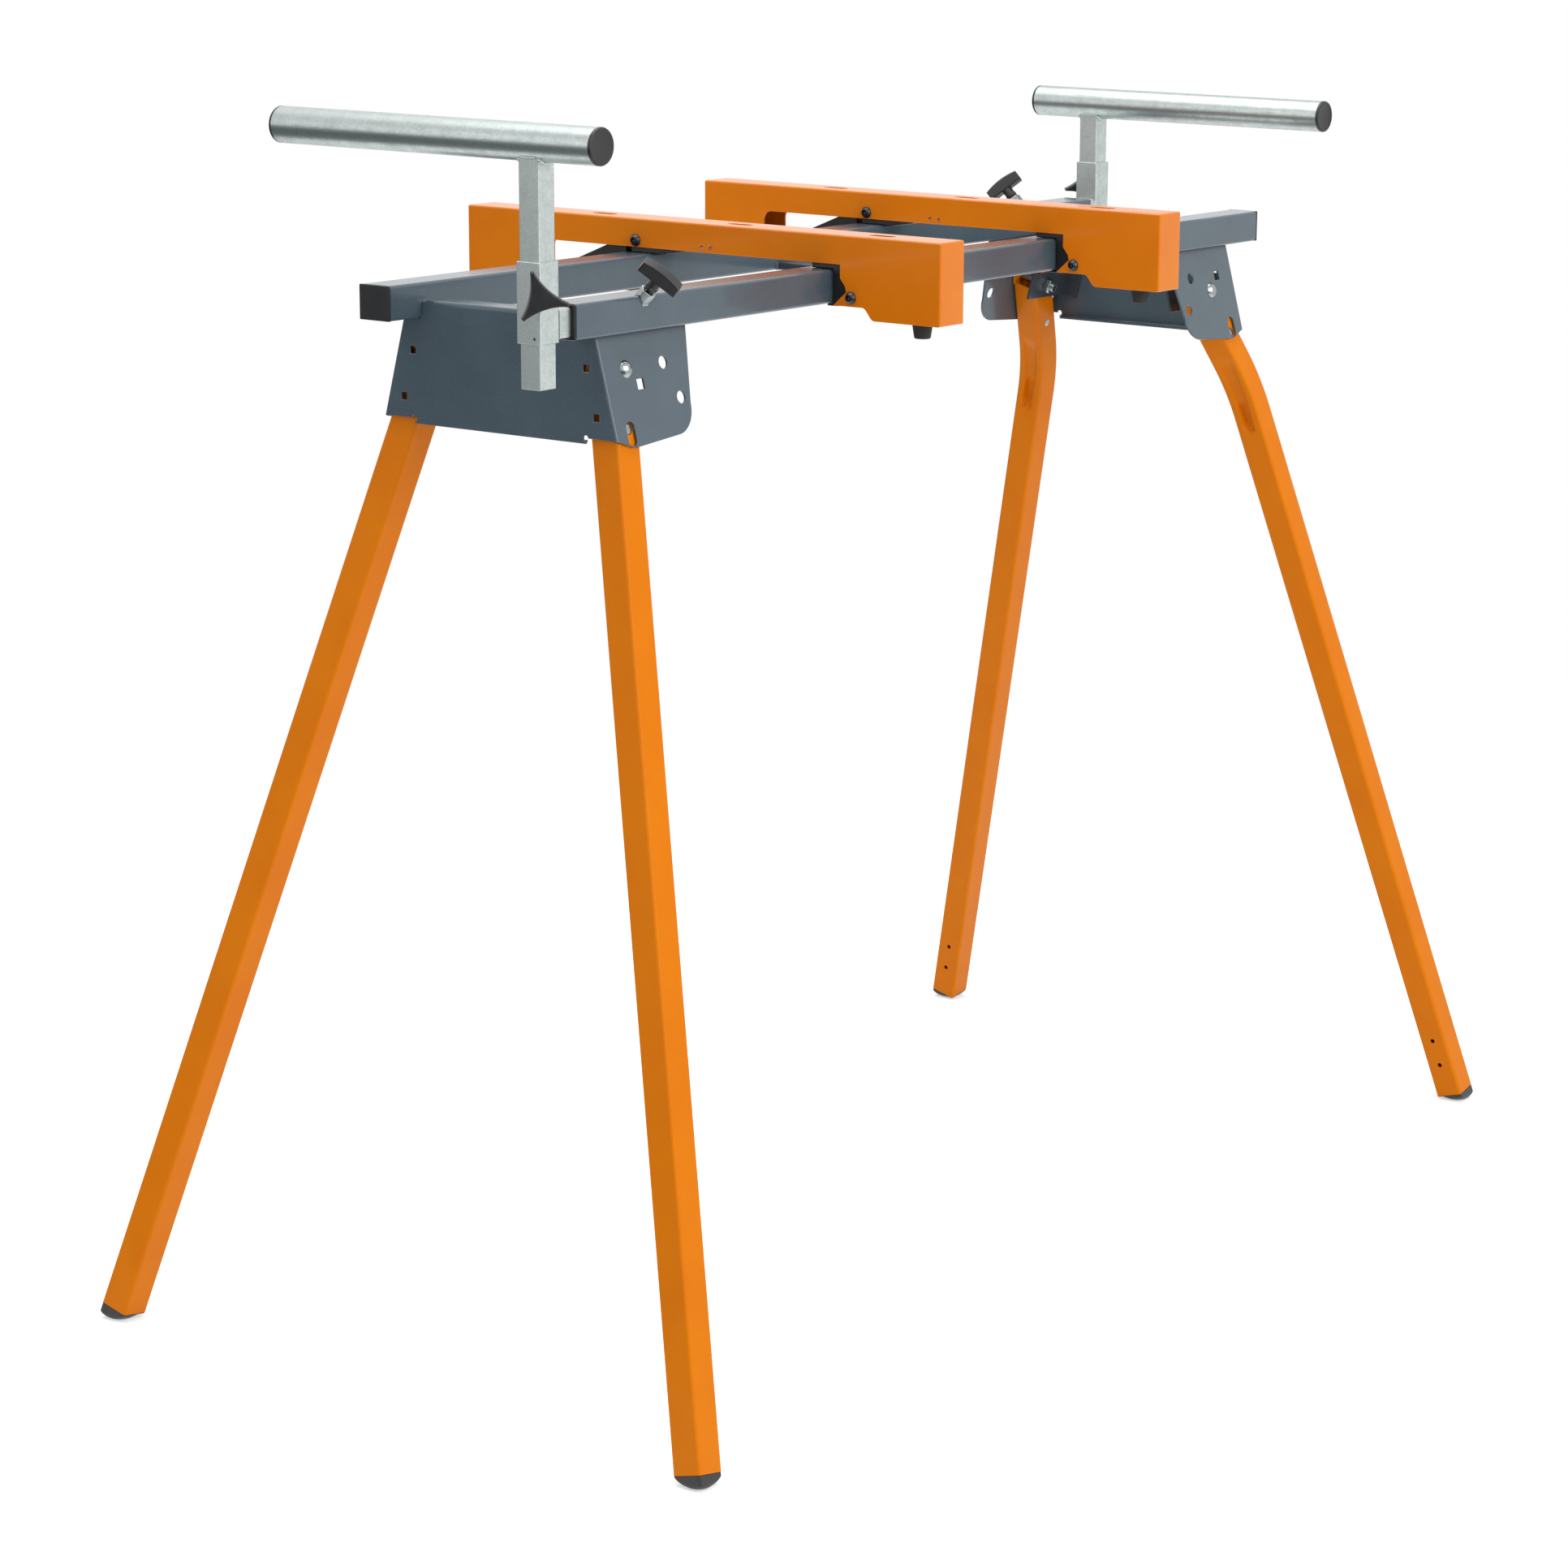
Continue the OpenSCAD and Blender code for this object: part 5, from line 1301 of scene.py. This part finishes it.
BOLT_SPOTS = ((-135.5, 881.5), (97.8, 915))
BOLT_EDGE, SOCKET_R, SOCKET_DEEP, HEAD_OUT = 0.35, 2.6, 4.2, 6
PIN_IN, PIN_Y, PIN_Z = 9, 73, 909.6
for end, x in BAR_X.items():
    bolts = softened(f"bar_fasteners_{end}", BOLT_EDGE)
    sockets = [
        lathe(
            [(0, 0), (SOCKET_R, 0), (SOCKET_R, SOCKET_DEEP), (0, SOCKET_DEEP)],
            Vector((x - BAR_W / 2 - HEAD_OUT, y, z)), ALONG, 6,
        )
        for y, z in BOLT_SPOTS
    ]
    settle(
        f"bar_bolts_{end}", bored(bolts, *sockets), black_oxide, f"bar_{end}", "black_bolt",
        f"bar_fasteners_{end}",
    )
    rivet = lathe(
        [(0, -1.5), (1.6, -1.5), (1.6, 0), (3.1, 0), (3.1, 0.5), (2.4, 1.3), (1.2, 1.7), (0, 1.8)],
        Vector((x - PIN_IN, PIN_Y, PIN_Z)), UP, 32,
    )
    settle(f"saddle_pin_{end}", rivet, bright_plate, f"bar_{end}", "bright_zinc")

# ---------------------------------------------------------------- bar feet
# Tapered rubber bumpers pushed up into the bar, so that it stands level when it is off the
# rails with its saw.

# moulded rubber: matt, a shade lighter than the nylon, with a dusty bloom
black_rubber = moulded("moulded_black_rubber", srgb("242426"), srgb("1E1E20"), 0.62, 0.78, 0.9, 0.5)

for end in ENDS:
    settle_softened(
        f"bar_bumpers_{end}", f"bar_feet_{end}", 1.1, black_rubber, f"bar_{end}", "rubber", steps=3
    )

# ---------------------------------------------------------------- studio
# A white floor and backdrop with soft boxes: the main one in front on the right, a broad one
# above, and a weaker one on the left. The room beyond the floor is dark, and only shows in
# the metal.


def on_show(tree):
    """A value that is 1 where a surface is seen by the camera, or in gloss or glass."""
    rays = add(tree, "ShaderNodeLightPath")
    seen = rays.outputs["Is Camera Ray"]
    for kind in ("Is Glossy Ray", "Is Transmission Ray"):
        seen = add(
            tree, "ShaderNodeMath", {0: seen, 1: rays.outputs[kind]}, operation="MAXIMUM"
        ).outputs[0]
    return seen


world = bpy.data.worlds.new("studio")
bpy.context.scene.world = world
tree = blank_tree(world)
glow = add(tree, "ShaderNodeBackground", {"Color": (0.9, 0.95, 1, 1), "Strength": 0.42})
white = add(tree, "ShaderNodeBackground", {"Color": (1, 1, 1, 1), "Strength": 1.0})
mixed = add(
    tree, "ShaderNodeMixShader", {0: on_show(tree), 1: glow.outputs[0], 2: white.outputs[0]}
)
add(tree, "ShaderNodeOutputWorld", {"Surface": mixed.outputs[0]})


def flat_sector(name, inner, outer, z, finish, start=0, stop=360):
    """A sector of a flat ring on the studio's floor, between two bearings in degrees."""
    mesh = bpy.data.meshes.new(name)
    steps = 64
    points = [
        (x, y, z) for r in (inner, outer) for x, y in arc_points(0, 0, r, start, stop, steps)
    ]
    mesh.from_pydata(points, [], [(i, steps + 1 + i, steps + 2 + i, i + 1) for i in range(steps)])
    mesh.materials.append(finish)
    made = stand(name, mesh)
    return made


paper = bpy.data.materials.new("white_paper_floor")
tree = blank_tree(paper)
seen = on_show(tree)
lift = add(tree, "ShaderNodeEmission", {"Color": (1, 1, 1, 1), "Strength": 0.5})
matt = add(tree, "ShaderNodeBsdfDiffuse", {"Color": (0.8, 0.8, 0.8, 1)})
both = add(tree, "ShaderNodeAddShader", {0: lift.outputs[0], 1: matt.outputs[0]})
mixed = add(tree, "ShaderNodeMixShader", {0: seen, 1: matt.outputs[0], 2: both.outputs[0]})
place = add(tree, "ShaderNodeTexCoord").outputs["Object"]
away = add(tree, "ShaderNodeVectorMath", {0: place}, operation="LENGTH")
fade = add(
    tree, "ShaderNodeMapRange", {"Value": away.outputs["Value"], "From Min": 1.1, "From Max": 2.2}
)
fade = add(tree, "ShaderNodeMath", {0: fade.outputs[0], 1: seen}, operation="MULTIPLY")
blank = add(tree, "ShaderNodeEmission", {"Color": (1, 1, 1, 1), "Strength": 1.0})
mixed = add(tree, "ShaderNodeMixShader", {0: fade.outputs[0], 1: mixed.outputs[0], 2: blank.outputs[0]})
add(tree, "ShaderNodeOutputMaterial", {"Surface": mixed.outputs[0]})
flat_sector("floor", 0.001, 40, -0.0005, paper)

dark_room = bpy.data.materials.new("dark_studio_floor")
tree = blank_tree(dark_room)
felt = add(tree, "ShaderNodeBsdfDiffuse", {"Color": (0.18, 0.195, 0.2, 1)})
add(tree, "ShaderNodeOutputMaterial", {"Surface": felt.outputs[0]})
beyond = flat_sector("room_floor", 1.35, 38, 0.002, dark_room, 75, 255)
for rays in ("camera", "diffuse", "shadow", "transmission"):
    setattr(beyond, f"visible_{rays}", False)


def soft_box(name, spot, aim, width, height, power):
    """A large diffused lamp at spot that faces aim."""
    lamp = bpy.data.lights.new(name, "AREA")
    lamp.shape, lamp.size, lamp.size_y, lamp.energy = "RECTANGLE", width, height, power
    away = Vector(spot) - Vector(aim)
    turned = away.to_track_quat("Z", "Y").to_matrix().to_4x4()
    stand(name, lamp).matrix_world = Matrix.Translation(spot) @ turned


soft_box("front_box", (-0.2, -3.6, 2.3), (0, 0, 0.6), 3.4, 2.6, 98)
soft_box("top_box", (0.0, 0.4, 3.6), (0, 0, 0.8), 3.2, 2.6, 85)
soft_box("left_box", (-3.6, 0.9, 1.9), (0, 0, 0.6), 2.4, 2.2, 20)

bpy.context.scene.view_settings.view_transform = "Standard"
